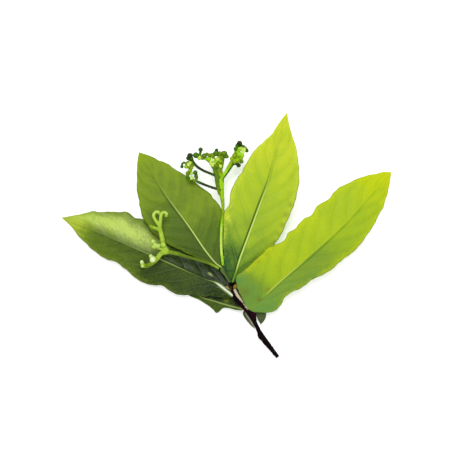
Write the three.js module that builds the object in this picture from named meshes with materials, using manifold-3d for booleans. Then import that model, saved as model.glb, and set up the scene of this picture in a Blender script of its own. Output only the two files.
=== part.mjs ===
// A cut sprig of camphor laurel: a short woody twig, four large leaves, two small ones and two young
// flower sprays. It lies on a flat surface and rests on the tips of the two outer leaves and on the
// cut end of the twig.
//
// Lengths are millimetres. +Z is up, +X runs along the sprig's widest spread, and the origin lies on
// the surface under the middle of the sprig's outline.

import * as THREE from 'three';
import { mergeVertices } from 'three/addons/utils/BufferGeometryUtils.js';
import Module from 'manifold-3d';

const wasm = await Module();
wasm.setup();

// Driving dimensions. A blade's columns are shares of its half width. The midrib stands out of the top
// face and gets narrower and lower towards the tip. A stalk runs on under the start of its blade.
const BLADE_THICKNESS = 0.6;
const RIB_RISE = 0.3;
const RIB_HALF_WIDTH = 0.75;
const RIB_TAPER = 0.55;
const RIB_SHARE = 0.4;
const RIB_FADE = 6;
const ROW_CROWDING = 0.5;
const WIDE_BLADE = [1 / 3, 2 / 3, 1];
const NARROW_BLADE = [1 / 2, 1];
const MARGIN_AT_ENDS = 0.35;
const JOIN_GAP = 0.5;
const END_PUSH = 0.4;
const END_GAP_SHARE = 1.3;
const SHOOT_SIDES = 8;
const SHOOT_STEPS = 7;
const STALK_SIDES = 6;
const STALK_STEPS = 7;
const STALK_REACH = 0.3;
const STALK_OVERLAP = 0.2;
const STALK_DROP = 0.25;
const STALK_TAPER = 0.5;
const TWIG_SIDES = 10;
const BUD_MESH = [6, 3];
const BUD_SPREAD = 0.12;
const SURFACE_SLAB = [200, 200, 5];
const MERGE_DISTANCE = 1e-4;

// Colours and roughness of the living sprig
const BARK = { color: 0x2a1b17, roughness: 0.75 };
const SHOOT_GREEN = { color: 0x9db64a, roughness: 0.5 };
const DARK_LEAF = { color: 0x4f6e2b, roughness: 0.35 };
const OLIVE_LEAF = { color: 0x7c9a3a, roughness: 0.45 };
const BRIGHT_LEAF = { color: 0xb0cf35, roughness: 0.45 };
const DULL_LEAF = { color: 0x5a7049, roughness: 0.55 };
const DRY_SCALE = { color: 0xb5bb98, roughness: 0.7 };
const SPRAY_GREEN = { color: 0x6f9a33, roughness: 0.5 };
const PALE_SPRAY = { color: 0xa9c95a, roughness: 0.45 };

// The twig's centre line from its cut end to its top, with the radius at points along it.
const TWIG_LINE = [
  [22.7, -54.6, 0.8], [19.9, -51.1, 0.95], [15.9, -45.9, 1.25], [12.9, -40.2, 2.6], [10.6, -35.3, 4.2],
  [7.4, -31.6, 5.3], [4.6, -27.8, 6.4], [3.2, -24.4, 7.3], [1.6, -20.4, 8.3],
];
const TWIG_RADII = [
  [0, 0.85], [0.1, 1], [0.25, 1.3], [0.36, 1], [0.46, 0.95], [0.52, 1.3], [0.57, 1.5], [0.64, 1.35],
  [0.72, 1.5], [0.8, 1.75], [0.88, 1.6], [0.95, 1.5], [1, 1.3],
];
const TWIG_STEPS = 28;
const BARK_FURROWS = 5;
const BARK_DEPTH = 0.05;
const BARK_TWIST = 1.2;

// Swellings on the twig: place along it, angle round it, length, width and how far they stand out.
const KNOTS = [
  { along: 0.555, angle: -0.2, length: 3.4, width: 1.5, out: 1.1 },
  { along: 0.77, angle: 2.7, length: 3.2, width: 1.4, out: 1 },
  { along: 0.3, angle: 2.9, length: 2.6, width: 1, out: 0.9 },
  { along: 0.66, angle: 0.6, length: 2.2, width: 1.1, out: 0.8 },
];
const KNOT_MESH = [8, 5];
const KNOT_PLACE = 0.75;
const BUD_SCALES = 6;
const SCALE_MESH = [6, 5];
const SCALE_LENGTH = 4.2;
const SCALE_WIDTH = 1.2;
const SCALE_THICKNESS = 0.5;
const SCALE_PLACE = 0.93;
const SCALE_LEAN = 0.85;

const SHOOT_LINE = [[1.6, -20.4, 8.3], [-0.6, -17.2, 8.9], [-1.9, -15.3, 9.3], [-2.5, -14, 9.5]];
const SHOOT_RADII = [[0, 1.1], [0.5, 1.0], [0.85, 1.3], [1, 1.0]];

// Each leaf has the line of its midrib from twig to tip, the place where its blade starts, and for
// the side left and right of that line the width and the rise of the margin at points along it.
// rise and curl give the height of the margin as a share of the width, ripple the height of its waves.
const LEAVES = {
  leaf_left: {
    finish: DARK_LEAF,
    line: [
      [2.6, -26.9, 6.9], [-1.4, -23.7, 6.2], [-5.4, -20.9, 5.8], [-10, -19.4, 5.9], [-16.7, -16.5, 6.6],
      [-30.1, -10.4, 7.4], [-47.1, -3.2, 6.4], [-60.7, 2.5, 3.7], [-68.9, 6, 0.8], [-74.6, 8.1, -0.7],
    ],
    rows: 32, bladeStart: 0.012, stalk: 0.75,
    left: {
      width: [
        [0, 0.8], [0.02, 2.4], [0.045, 3.9], [0.08, 5.8], [0.12, 6.9], [0.16, 7.6], [0.2, 8.8],
        [0.25, 10.7], [0.28, 11.3], [0.32, 11.2], [0.35, 10.6], [0.4, 11.8], [0.46, 12.8], [0.5, 12.6],
        [0.54, 11.4], [0.6, 9.6], [0.63, 9.1], [0.68, 9.6], [0.74, 8.8], [0.8, 7.4], [0.86, 5.4],
        [0.9, 3.8], [0.94, 2.2], [1, 0],
      ],
      rise: [[0, -0.05], [0.3, -0.16], [0.6, -0.2], [0.9, -0.05], [1, 0]], curl: -0.1,
      waves: 3.5, phase: 0.2, ripple: 0.5,
    },
    right: {
      width: [
        [0, 0.6], [0.02, 2.4], [0.05, 4.5], [0.08, 6.5], [0.11, 8], [0.15, 9.8], [0.2, 10.4],
        [0.26, 11], [0.34, 12.3], [0.46, 13.5], [0.58, 13.4], [0.63, 12.7], [0.68, 13.6], [0.74, 11.5],
        [0.78, 10.4], [0.81, 9.2], [0.85, 8.2], [0.885, 6.1], [0.92, 4.1], [0.96, 2], [1, 0],
      ],
      rise: [[0, -0.05], [0.3, -0.2], [0.6, -0.12], [0.9, -0.03], [1, 0]], curl: -0.12,
      waves: 3, phase: 0.6, ripple: 0.4,
    },
  },
  leaf_upper_left: {
    finish: OLIVE_LEAF,
    line: [
      [-2.4, -14.2, 8.7], [-4.9, -12.5, 8.4], [-9.6, -6.9, 8.1], [-17.2, 4.2, 8.5], [-27.1, 17.7, 8.3],
      [-34.1, 28.5, 6.7], [-39.6, 37.4, 4.4],
    ],
    rows: 28, bladeStart: 0.05, stalk: 0.7,
    left: {
      width: [
        [0, 0.5], [0.05, 0.7], [0.1, 2.4], [0.14, 3.9], [0.2, 6.6], [0.26, 9.1], [0.32, 11.2],
        [0.37, 13], [0.45, 14.4], [0.5, 14.8], [0.56, 14.7], [0.62, 13.9], [0.68, 12.4], [0.74, 10.7],
        [0.8, 8.9], [0.86, 6.5], [0.9, 4.9], [0.94, 3.1], [0.97, 1.7], [1, 0],
      ],
      rise: [[0, 0], [0.5, -0.02], [1, -0.05]], curl: -0.05, waves: 2.5, phase: 0.1, ripple: 0.35,
    },
    right: {
      width: [
        [0, 0.5], [0.05, 5.4], [0.1, 8.8], [0.18, 11.6], [0.26, 14.3], [0.32, 15.9], [0.37, 16.4],
        [0.42, 16.4], [0.48, 16], [0.54, 14.7], [0.6, 14.1], [0.67, 12.5], [0.72, 11], [0.77, 9.5],
        [0.82, 8.1], [0.86, 6.5], [0.9, 4.9], [0.94, 3.2], [1, 0],
      ],
      rise: [[0, -0.1], [0.5, -0.06], [1, -0.05]], curl: -0.04, waves: 2, phase: 0.5, ripple: 0.35,
    },
  },
  leaf_upper_right: {
    finish: BRIGHT_LEAF,
    line: [
      [2, -21.2, 8.8], [3.9, -15.8, 10.4], [5.4, -10.7, 11.1], [9.6, 0.7, 12], [14.1, 12.9, 12.1],
      [18.3, 24, 11.1], [20.8, 32.9, 9.7], [23.1, 41.2, 7.8], [26.7, 55.2, 4.1],
    ],
    rows: 32, bladeStart: 0.015, stalk: 0.75,
    left: {
      width: [
        [0, 0.5], [0.015, 1], [0.035, 2.6], [0.07, 5.3], [0.1, 6.3], [0.14, 7.5], [0.2, 9.5],
        [0.26, 11.4], [0.3, 12.5], [0.335, 13.4], [0.36, 13.7], [0.38, 13.1], [0.4, 13], [0.46, 14.1],
        [0.54, 13.8], [0.6, 12.8], [0.66, 11.7], [0.72, 10.6], [0.77, 8.6], [0.82, 6], [0.86, 4.3],
        [0.91, 3], [0.95, 1.8], [1, 0],
      ],
      rise: [[0, 0.1], [0.15, 0.34], [0.4, 0.2], [0.7, 0.1], [1, 0]], curl: -0.04,
      waves: 2.5, phase: 0.3, ripple: 0.45,
    },
    right: {
      width: [
        [0, 0.5], [0.015, 1.3], [0.035, 3.9], [0.07, 7.3], [0.11, 9.5], [0.16, 11], [0.22, 12.1],
        [0.29, 12.4], [0.34, 13.3], [0.42, 14], [0.47, 13.9], [0.54, 14.1], [0.6, 13.5], [0.66, 12.5],
        [0.72, 11.3], [0.77, 9.5], [0.82, 7.6], [0.86, 5.9], [0.9, 3.8], [0.94, 2.1], [1, 0],
      ],
      rise: [[0, -0.22], [0.25, -0.18], [0.5, -0.02], [1, 0.05]], curl: -0.06,
      waves: 3, phase: 0.8, ripple: 0.5,
    },
  },
  leaf_right: {
    finish: BRIGHT_LEAF,
    line: [
      [8.9, -32.6, 5.7], [16.5, -26.7, 7.4], [24.3, -19.6, 9], [40, -6.1, 9.5], [54.5, 7.6, 6.8],
      [64, 18.3, 3.5], [69.6, 24.4, 0.9], [73.8, 28.6, -0.7],
    ],
    rows: 36, bladeStart: 0.012, stalk: 0.8,
    left: {
      width: [
        [0, 0.6], [0.015, 6.8], [0.022, 9.5], [0.03, 11.4], [0.045, 14.2], [0.06, 14.9], [0.08, 14.8],
        [0.14, 14.5], [0.22, 14.8], [0.28, 14.7], [0.32, 13.6], [0.36, 12.9], [0.4, 14.3], [0.44, 13.4],
        [0.5, 14.4], [0.55, 13.1], [0.6, 14.2], [0.66, 13.1], [0.7, 13], [0.76, 12.7], [0.82, 10.5],
        [0.86, 9.1], [0.9, 6.7], [0.94, 4.4], [0.97, 2.7], [1, 0],
      ],
      rise: [[0, 0.5], [0.1, 0.52], [0.25, 0.36], [0.5, 0.12], [0.75, 0.02], [1, 0]], curl: -0.08,
      waves: 5, phase: 0.15, ripple: 0.6,
    },
    right: {
      width: [
        [0, 0.6], [0.015, 3], [0.03, 4.2], [0.05, 5.7], [0.07, 7.1], [0.09, 8], [0.15, 7.8],
        [0.18, 6.8], [0.22, 7.1], [0.27, 8.4], [0.33, 8.9], [0.38, 9.7], [0.44, 11.1], [0.48, 11.1],
        [0.55, 11.5], [0.62, 11.9], [0.66, 11.1], [0.72, 10.2], [0.79, 9], [0.83, 8.2], [0.87, 6.7],
        [0.91, 5.3], [0.95, 3.3], [1, 0],
      ],
      rise: [[0, -0.12], [0.3, -0.16], [0.6, -0.2], [0.85, -0.1], [1, 0]], curl: -0.06,
      waves: 4, phase: 0.55, ripple: 0.5,
    },
  },
  leaf_small_left: {
    finish: DARK_LEAF,
    line: [
      [6.9, -32.7, 5.2], [2.6, -31.8, 3.7], [-1.6, -30.7, 3], [-6.1, -29.3, 2.5], [-11, -27.8, 2.1],
      [-17, -23.8, 1.8], [-23.5, -19.8, 1.5],
    ],
    rows: 20, bladeStart: 0.03, stalk: 0.6, narrow: true,
    left: {
      width: [
        [0, 0.8], [0.1, 1.2], [0.2, 1.2], [0.27, 2.1], [0.315, 4.7], [0.395, 3.6], [0.49, 2.4],
        [0.58, 1.7], [0.72, 2.7], [0.86, 2.6], [1, 0],
      ],
      rise: [[0, -0.05], [0.4, -0.1], [1, -0.1]], curl: -0.05, waves: 1, phase: 0, ripple: 0,
    },
    right: {
      width: [
        [0, 0.6], [0.05, 2.6], [0.1, 4], [0.2, 5], [0.3, 5.4], [0.5, 5.6], [0.7, 4.6], [0.85, 2.6],
        [1, 0],
      ],
      rise: [[0, 0], [1, -0.05]], curl: -0.05, waves: 1, phase: 0, ripple: 0,
    },
  },
  leaf_small_right: {
    finish: DULL_LEAF,
    line: [[9.8, -33, 4.3], [12.2, -31.7, 3.1], [14.1, -32.6, 2.4], [15.1, -35.6, 2], [15, -39.8, 1.6]],
    rows: 10, bladeStart: 0.14, stalk: 0.6, narrow: true,
    left: {
      width: [[0, 0.4], [0.12, 0.6], [0.4, 2.4], [0.65, 2.4], [0.85, 1.5], [1, 0]],
      rise: [[0, 0.1], [1, 0]], curl: 0.05, waves: 1, phase: 0, ripple: 0,
    },
    right: {
      width: [[0, 0.4], [0.12, 0.6], [0.4, 1.8], [0.65, 2.3], [0.85, 1.4], [1, 0]],
      rise: [[0, 0.1], [1, 0]], curl: 0.05, waves: 1, phase: 0, ripple: 0,
    },
  },
  bract: {
    finish: DRY_SCALE,
    line: [[9, -33.4, 4.6], [7.8, -34.5, 3.6], [9, -36.9, 2.8], [10.6, -39.2, 2.1], [12.2, -41.6, 1.5]],
    rows: 10, bladeStart: 0.2, stalk: 0.5, narrow: true,
    left: {
      width: [[0, 0.5], [0.3, 1], [0.6, 1], [0.85, 0.7], [1, 0]],
      rise: [[0, 0.2], [1, 0.2]], curl: 0.1, waves: 1, phase: 0, ripple: 0,
    },
    right: {
      width: [[0, 0.5], [0.3, 1], [0.6, 0.9], [0.85, 0.6], [1, 0]],
      rise: [[0, 0.2], [1, 0.2]], curl: 0.1, waves: 1, phase: 0, ripple: 0,
    },
  },
};

// The sprays. Each branch is a line with its radii from start to end, and starts inside the one that
// carries it. Each bud is a centre with a radius.
const SPRAYS = {
  spray_upper: {
    finish: SPRAY_GREEN,
    branches: [
      {
        line: [
          [-1.9, -13.1, 10.4], [-2.3, -10.4, 11], [-2.7, -6.5, 11.2], [-2.8, -2, 11.3], [-2.7, 3, 11.5],
          [-2.2, 8, 11.6], [-2, 13.5, 11.3], [-2.6, 18.5, 10.8], [-3, 23.5, 11], [-3.2, 27.5, 11.4],
          [-3.9, 30, 11.7],
        ],
        radii: [0.65, 0.65, 0.65, 0.65, 0.65, 0.75, 1.15, 1.5, 1.2], steps: 22, sides: 6,
      },
      {
        line: [
          [-3.1, 20.3, 10.8], [-8.6, 22.1, 10.6], [-12, 23.5, 10.7], [-13.9, 24.5, 10.9],
          [-13.6, 26.3, 11.2], [-14.3, 28, 11.6],
        ],
        radii: [0.6, 0.6, 0.6, 0.65, 0.65], steps: 9, sides: 5,
      },
      {
        line: [[-13.7, 24.7, 10.9], [-15.9, 24.5, 11], [-17.5, 25.6, 11.4], [-17.6, 27.6, 11.7]],
        radii: [0.65, 0.75], steps: 5, sides: 5,
      },
      {
        line: [
          [-3.8, 26.1, 11.4], [-7.7, 27.7, 11.7], [-10.8, 29, 12], [-13.7, 30.9, 12.2],
          [-15.3, 32.9, 12.4], [-16.4, 35.3, 12.6],
        ],
        radii: [0.65, 0.6, 0.6, 0.65, 0.7], steps: 8, sides: 5,
      },
      {
        line: [
          [-14.6, 31.6, 12.2], [-16.6, 30.7, 12.6], [-18.1, 31.5, 12.8], [-19, 32.6, 12.8],
          [-20, 32.1, 12.8], [-20.2, 30.9, 12.8],
        ],
        radii: [0.6, 0.55], steps: 8, sides: 5,
      },
      {
        line: [
          [-15.7, 31.6, 12.5], [-16.3, 32.9, 13], [-17.9, 32.7, 13.2], [-18.5, 31.3, 13.2],
          [-17.6, 30.2, 13.1], [-16.4, 30.2, 13],
        ],
        radii: [0.5, 0.45], steps: 8, sides: 5,
      },
      {
        line: [
          [-3.9, 30, 11.7], [-6.9, 32.2, 12], [-9.5, 34.1, 12.2], [-12.2, 35, 12.4], [-13.7, 36, 12.6],
        ],
        radii: [0.8, 0.7], steps: 6, sides: 5,
      },
      {
        line: [[-12.2, 35, 12.4], [-12, 37.1, 12.7], [-11.8, 38.4, 12.8]],
        radii: [0.65, 0.6], steps: 3, sides: 5,
      },
      {
        line: [[-3.9, 30, 11.7], [-5.7, 33.1, 12.6], [-6.2, 35.3, 13], [-4.9, 37.3, 13.2]],
        radii: [0.8, 0.65], steps: 5, sides: 5,
      },
      {
        line: [
          [-5.6, 32.4, 12.5], [-6.6, 31.6, 13], [-7.6, 32.4, 13.1], [-7.2, 33.5, 13.1],
          [-6.2, 33.6, 13.1],
        ],
        radii: [0.45, 0.4], steps: 7, sides: 5,
      },
      {
        line: [
          [-5.9, 34, 12.8], [-5.1, 33.4, 13.2], [-4, 33.7, 13.4], [-3.6, 34.7, 13.4],
          [-4.4, 35.5, 13.4],
        ],
        radii: [0.45, 0.4], steps: 7, sides: 5,
      },
      {
        line: [[-3.3, 28.3, 11.5], [-2.4, 31.6, 12], [-1.8, 34.9, 12.4], [-1.8, 36.4, 12.6]],
        radii: [0.8, 0.65], steps: 5, sides: 5,
      },
      {
        line: [
          [-2.9, 24.3, 11.1], [-0.7, 28.5, 11.4], [1.3, 32, 11.8], [3.3, 34.9, 12.2], [4, 38, 12.6],
          [5.3, 40.8, 12.8],
        ],
        radii: [0.65, 0.65, 0.8, 0.9, 0.8], steps: 9, sides: 5,
      },
      {
        line: [[4, 37.1, 12.5], [6, 39.3, 12.8], [7.7, 39.5, 12.8], [8.5, 37.8, 12.6]],
        radii: [0.65, 0.6], steps: 6, sides: 5,
      },
      {
        line: [
          [4.6, 37.3, 12.9], [5.5, 38.6, 13.3], [6.8, 39, 13.5], [7.8, 38.2, 13.5], [7.4, 37, 13.4],
          [6.2, 36.8, 13.3],
        ],
        radii: [0.5, 0.45], steps: 8, sides: 5,
      },
      {
        line: [[-2.4, 24.9, 11.1], [0.9, 29.4, 11.2], [2.9, 32, 11.6], [4.9, 31.4, 11.4]],
        radii: [0.5, 0.6], steps: 6, sides: 5,
      },
      {
        line: [
          [-3.7, 18.2, 10.9], [-4.4, 22.5, 11.2], [-4.9, 26.5, 11.6], [-5.8, 29.8, 12], [-7.5, 32.4, 12.3],
        ],
        radii: [0.4, 0.85, 1, 0.95, 0.8], steps: 7, sides: 5,
      },
    ],
    buds: [
      [-14.3, 28.1, 11.7, 1.1], [-17.6, 27.7, 11.8, 1.1], [-14, 26.5, 11.3, 0.95],
      [-17.5, 25.6, 11.6, 1], [-15.9, 24.7, 11.1, 0.95], [-15.9, 25.6, 11.6, 0.9],
      [-16.6, 35.5, 12.8, 1.4], [-16.1, 34.1, 12.7, 1.2], [-17.5, 34.4, 12.7, 1],
      [-16.6, 32.3, 13, 0.9], [-18.4, 30.6, 12.9, 0.9], [-15.9, 30.2, 12.8, 0.9],
      [-20.2, 30.7, 12.8, 0.85], [-17.3, 31.4, 13.2, 0.8], [-13.9, 35.7, 12.8, 1.5],
      [-11.9, 38.2, 13.1, 1.1], [-10.2, 35.5, 12.9, 1.3], [-8.2, 34.1, 12.7, 1.2],
      [-12.4, 34.6, 12.6, 1.1], [-9.2, 36.2, 12.8, 0.9], [-5.1, 36.5, 13.4, 1.4],
      [-4.8, 37.9, 13.5, 0.9], [-6.8, 35.7, 13.2, 1.2], [-3.4, 36.4, 13, 1.2], [-1.5, 36.3, 13, 1.6],
      [-0.4, 35.2, 12.8, 1.1], [-2.6, 34.9, 13, 1], [-3.1, 30.9, 12.8, 0.9], [-5.1, 30.9, 12.4, 1.1],
      [5.3, 40.9, 13.2, 1.4], [3.7, 38.5, 13, 1.1], [4.4, 39.9, 12.9, 1.1], [8.5, 37.8, 12.8, 1],
      [6.9, 39.5, 13.1, 1], [5.1, 36.2, 13, 1.3], [6.7, 38, 12.9, 0.8], [6.5, 35.7, 12.9, 1.1],
      [5.9, 34.4, 12.5, 1.1], [4.6, 33.6, 12.4, 1.4], [3.2, 33.1, 12.3, 1.4], [3.3, 35.5, 12.7, 1.4],
      [2, 34.3, 12.2, 1.1], [6.2, 32.9, 12.1, 1], [4.9, 31.3, 11.8, 1.1], [-11.1, 34.5, 12.5, 1],
      [-4.4, 34, 12.9, 1.1], [-3.1, 33.2, 12.6, 1.1], [-5.1, 33, 12.6, 0.9], [5.3, 37.9, 13, 0.85],
      [4.2, 35, 12.6, 0.9], [-3.9, 32.1, 12.4, 1], [-8.2, 35.8, 12.9, 0.9], [-16.6, 29, 12.3, 1],
      [-16, 27.6, 12, 0.85],
    ],
  },
  spray_left: {
    finish: PALE_SPRAY,
    branches: [
      {
        line: [
          [-3.9, -14.5, 10], [-6.6, -12.9, 10.7], [-11.3, -11.2, 11.4], [-17.5, -9.4, 11.6],
          [-23.3, -7.7, 11.4], [-27.4, -6.9, 11.6],
        ],
        radii: [0.6, 0.65, 0.8, 1], steps: 10, sides: 6,
      },
      {
        line: [
          [-26.6, -7.2, 11.6], [-28.3, -4.5, 12.2], [-29, -1, 12.8], [-29.8, 2.6, 13.2],
          [-30.1, 4.6, 13.4],
        ],
        radii: [1.25, 1.1, 0.95], steps: 8, sides: 6,
      },
      {
        line: [
          [-30.1, 4.2, 13.4], [-31.6, 6.6, 13.6], [-32.7, 8.6, 13.6], [-32.2, 10.3, 13.6],
          [-30.9, 10.7, 13.6], [-30, 9.9, 13.6],
        ],
        radii: [0.8, 0.7], steps: 10, sides: 5,
      },
      {
        line: [
          [-29.9, 4.2, 13.4], [-29.6, 7.5, 14], [-29.2, 9.7, 14.4], [-28.3, 10.5, 14.4],
          [-27, 10, 14.1], [-27.2, 8.9, 13.9],
        ],
        radii: [0.85, 0.7], steps: 9, sides: 5,
      },
      {
        line: [[-29.9, 2.4, 13.2], [-31.8, 3.4, 13.6], [-33.8, 4.2, 13.6]],
        radii: [0.8, 0.75], steps: 4, sides: 5,
      },
      {
        line: [[-28.1, -6.3, 11.8], [-30.3, -5.4, 12.8], [-31.8, -4.3, 13.4], [-32.8, -2.7, 13.6]],
        radii: [0.85, 0.8], steps: 5, sides: 5,
      },
      {
        line: [
          [-26.6, -7.1, 11.6], [-29.4, -7.8, 11.8], [-31, -9.8, 11.8], [-32.8, -11.6, 11.6],
          [-35.7, -13.3, 11.2], [-37.4, -13.2, 11], [-38, -11.6, 11],
        ],
        radii: [1.1, 1.1, 0.85], steps: 11, sides: 5,
      },
    ],
    buds: [
      [-30.1, 9.9, 13.6, 0.9], [-27.2, 8.9, 13.9, 0.9], [-33.8, 4.2, 13.8, 0.9],
      [-32.8, -2.5, 13.9, 1.1], [-32.5, -4.8, 13.6, 1.1], [-30.6, -4.4, 13.6, 1.1],
      [-28.5, -4, 13.4, 1.4], [-33.1, -10.5, 12.5, 1.6], [-33.9, -9, 12.9, 1], [-35.7, -13.4, 11.6, 1],
      [-38, -11.6, 11.3, 0.9], [-37.7, -13.3, 11.2, 0.9],
    ],
  },
};

// Small repeatable random numbers for the buds
function seededRandom(seed) {
  let state = seed;
  return () => {
    state = (state * 1664525 + 1013904223) % 4294967296;
    return state / 4294967296;
  };
}

function smoothLine(points) {
  const vectors = points.map((point) => new THREE.Vector3(...point));
  return new THREE.CatmullRomCurve3(vectors, false, 'centripetal');
}

// Smooth value at t between stations of [place, value]
function valueAt(stations, t) {
  const last = stations.length - 1;
  let i = 0;
  while (i < last - 1 && t > stations[i + 1][0]) i += 1;
  const [place, value] = stations[i];
  const [nextPlace, nextValue] = stations[i + 1];
  const span = nextPlace - place;
  const slope = (nextValue - value) / span;
  const slopeBefore = i > 0 ? (value - stations[i - 1][1]) / (place - stations[i - 1][0]) : slope;
  const slopeAfter = i + 2 <= last
    ? (stations[i + 2][1] - nextValue) / (stations[i + 2][0] - nextPlace) : slope;
  const start = (slope + slopeBefore) / 2 * span;
  const end = (slope + slopeAfter) / 2 * span;
  const u = (Math.min(Math.max(t, place), nextPlace) - place) / span;
  return value + u * (start + u * ((3 * (nextValue - value) - 2 * start - end)
    + u * (start + end - 2 * (nextValue - value))));
}

function solidOf(geometry) {
  const bare = geometry.clone();
  bare.deleteAttribute('normal');
  bare.deleteAttribute('uv');
  const merged = mergeVertices(bare, MERGE_DISTANCE);
  return new wasm.Manifold(new wasm.Mesh({
    numProp: 3,
    vertProperties: Float32Array.from(merged.attributes.position.array),
    triVerts: Uint32Array.from(merged.index.array),
  }));
}

function geometryOf(solid) {
  const mesh = solid.getMesh();
  const geometry = new THREE.BufferGeometry();
  geometry.setAttribute('position', new THREE.BufferAttribute(mesh.vertProperties, 3));
  geometry.setIndex(new THREE.BufferAttribute(mesh.triVerts, 1));
  geometry.computeVertexNormals();
  return geometry;
}

function joined(solids) {
  return solids.reduce((whole, solid) => whole.add(solid));
}

// A closed round stem along a line: rings of a few sides with a point at each end.
// radiusAt gives the radius for the place along the line and the angle round it, and gap grows it.
function stem(line, radiusAt, sides, steps, gap = 0) {
  const curve = smoothLine(line);
  const frames = curve.computeFrenetFrames(steps, false);
  const positions = [];
  const index = [];
  for (let i = 0; i <= steps; i += 1) {
    const along = i / steps;
    const centre = curve.getPointAt(along);
    for (let j = 0; j < sides; j += 1) {
      const angle = 2 * Math.PI * j / sides;
      const radius = radiusAt(along, angle) + gap;
      const point = centre.clone()
        .addScaledVector(frames.normals[i], radius * Math.cos(angle))
        .addScaledVector(frames.binormals[i], radius * Math.sin(angle));
      positions.push(point.x, point.y, point.z);
    }
  }
  for (let i = 0; i < steps; i += 1) {
    for (let j = 0; j < sides; j += 1) {
      const next = (j + 1) % sides;
      const a = i * sides + j;
      const b = i * sides + next;
      index.push(a, b, b + sides, a, b + sides, a + sides);
    }
  }
  const start = positions.length / 3;
  for (const along of [0, 1]) {
    const tangent = frames.tangents[along * steps];
    const push = END_PUSH * radiusAt(along, 0) + END_GAP_SHARE * gap;
    const outward = along > 0 ? push : -push;
    const point = curve.getPointAt(along).addScaledVector(tangent, outward);
    positions.push(point.x, point.y, point.z);
  }
  for (let j = 0; j < sides; j += 1) {
    const next = (j + 1) % sides;
    index.push(start, next, j);
    index.push(start + 1, steps * sides + j, steps * sides + next);
  }
  const geometry = new THREE.BufferGeometry();
  geometry.setAttribute('position', new THREE.Float32BufferAttribute(positions, 3));
  geometry.setIndex(index);
  return geometry;
}

// A point of the leaf's middle surface: u runs from 0 on the midrib to 1 on the margin.
function bladePoint(curve, side, sign, t, distance, width) {
  const centre = curve.getPointAt(t);
  const tangent = curve.getTangentAt(t);
  const across = new THREE.Vector2(-tangent.y, tangent.x).normalize().multiplyScalar(sign);
  const u = width > 0 ? distance / width : 0;
  const wave = side.ripple * u * u * Math.sin(Math.PI * t)
    * Math.sin(2 * Math.PI * (side.waves * t + side.phase));
  const height = centre.z + distance * (valueAt(side.rise, t) + side.curl * u) + wave;
  return new THREE.Vector3(
    centre.x + across.x * distance,
    centre.y + across.y * distance,
    Math.max(height, BLADE_THICKNESS / 2),
  );
}

function leafColumns(leaf) {
  return leaf.narrow ? NARROW_BLADE : WIDE_BLADE;
}

function bladeRow(leaf, curve, t) {
  const row = [];
  const ribWidth = RIB_HALF_WIDTH * (1 - RIB_TAPER * t);
  for (const [side, sign] of [[leaf.left, 1], [leaf.right, -1]]) {
    const width = Math.max(valueAt(side.width, t), MARGIN_AT_ENDS);
    const rib = Math.min(ribWidth, RIB_SHARE * width);
    const distances = [rib, ...leafColumns(leaf).map((share) => rib + (width - rib) * share)];
    const points = distances.map((distance) => bladePoint(curve, side, sign, t, distance, width));
    if (sign > 0) row.push(...points.reverse());
    else row.push(bladePoint(curve, side, sign, t, 0, width), ...points);
  }
  return row;
}

// Rows stand closer towards both ends of a blade, where its margin turns fast.
function rowPlace(share) {
  return share - ROW_CROWDING * Math.sin(2 * Math.PI * share) / (2 * Math.PI);
}

// A leaf blade as a thin closed shell, with both faces split into triangles alike.
function blade(leaf, curve) {
  const columns = 2 * (leafColumns(leaf).length + 1) + 1;
  const middle = (columns - 1) / 2;
  const positions = [];
  const index = [];
  for (const face of [1, -1]) {
    for (let i = 0; i <= leaf.rows; i += 1) {
      const t = leaf.bladeStart + (1 - leaf.bladeStart) * rowPlace(i / leaf.rows);
      const ribRise = RIB_RISE * (1 - RIB_TAPER * t) * Math.min(1, RIB_FADE * (1 - t));
      bladeRow(leaf, curve, t).forEach((point, j) => {
        const rib = j === middle && face > 0 ? ribRise : 0;
        positions.push(point.x, point.y, point.z + face * BLADE_THICKNESS / 2 + rib);
      });
    }
  }
  const faceSize = columns * (leaf.rows + 1);
  const quad = (a, b, c, d) => index.push(a, b, c, a, c, d);
  for (let i = 0; i < leaf.rows; i += 1) {
    for (let j = 0; j < columns - 1; j += 1) {
      const a = i * columns + j;
      quad(a, a + 1, a + 1 + columns, a + columns);
      const b = faceSize + a;
      index.push(b, b + 1 + columns, b + 1, b, b + columns, b + 1 + columns);
    }
  }
  for (let i = 0; i < leaf.rows; i += 1) {
    const a = i * columns;
    quad(a + columns, a + columns + faceSize, a + faceSize, a);
    const b = a + columns - 1;
    quad(b, b + faceSize, b + faceSize + columns, b + columns);
  }
  for (let j = 0; j < columns - 1; j += 1) {
    quad(j, j + faceSize, j + 1 + faceSize, j + 1);
    const b = leaf.rows * columns + j;
    quad(b + 1, b + 1 + faceSize, b + faceSize, b);
  }
  const geometry = new THREE.BufferGeometry();
  geometry.setAttribute('position', new THREE.Float32BufferAttribute(positions, 3));
  geometry.setIndex(index);
  return geometry;
}

// The stalk runs from the twig under the blade's base and thins out below the midrib.
function leafSolid(leaf) {
  const curve = smoothLine(leaf.line);
  const reach = Math.max(STALK_REACH, leaf.bladeStart + STALK_OVERLAP);
  const stalkLine = [];
  for (let i = 0; i <= STALK_STEPS; i += 1) {
    const share = i / STALK_STEPS;
    const point = curve.getPointAt(reach * share);
    stalkLine.push([point.x, point.y, point.z - STALK_DROP * share]);
  }
  const radiusAt = (along) => leaf.stalk * (1 - STALK_TAPER * along);
  const stalk = solidOf(stem(stalkLine, radiusAt, STALK_SIDES, STALK_STEPS));
  return solidOf(blade(leaf, curve)).add(stalk);
}

function twigRadius(along, angle) {
  const furrow = Math.sin(BARK_FURROWS * angle + BARK_TWIST * 2 * Math.PI * along);
  return valueAt(TWIG_RADII, along) * (1 + BARK_DEPTH * furrow);
}

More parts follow.
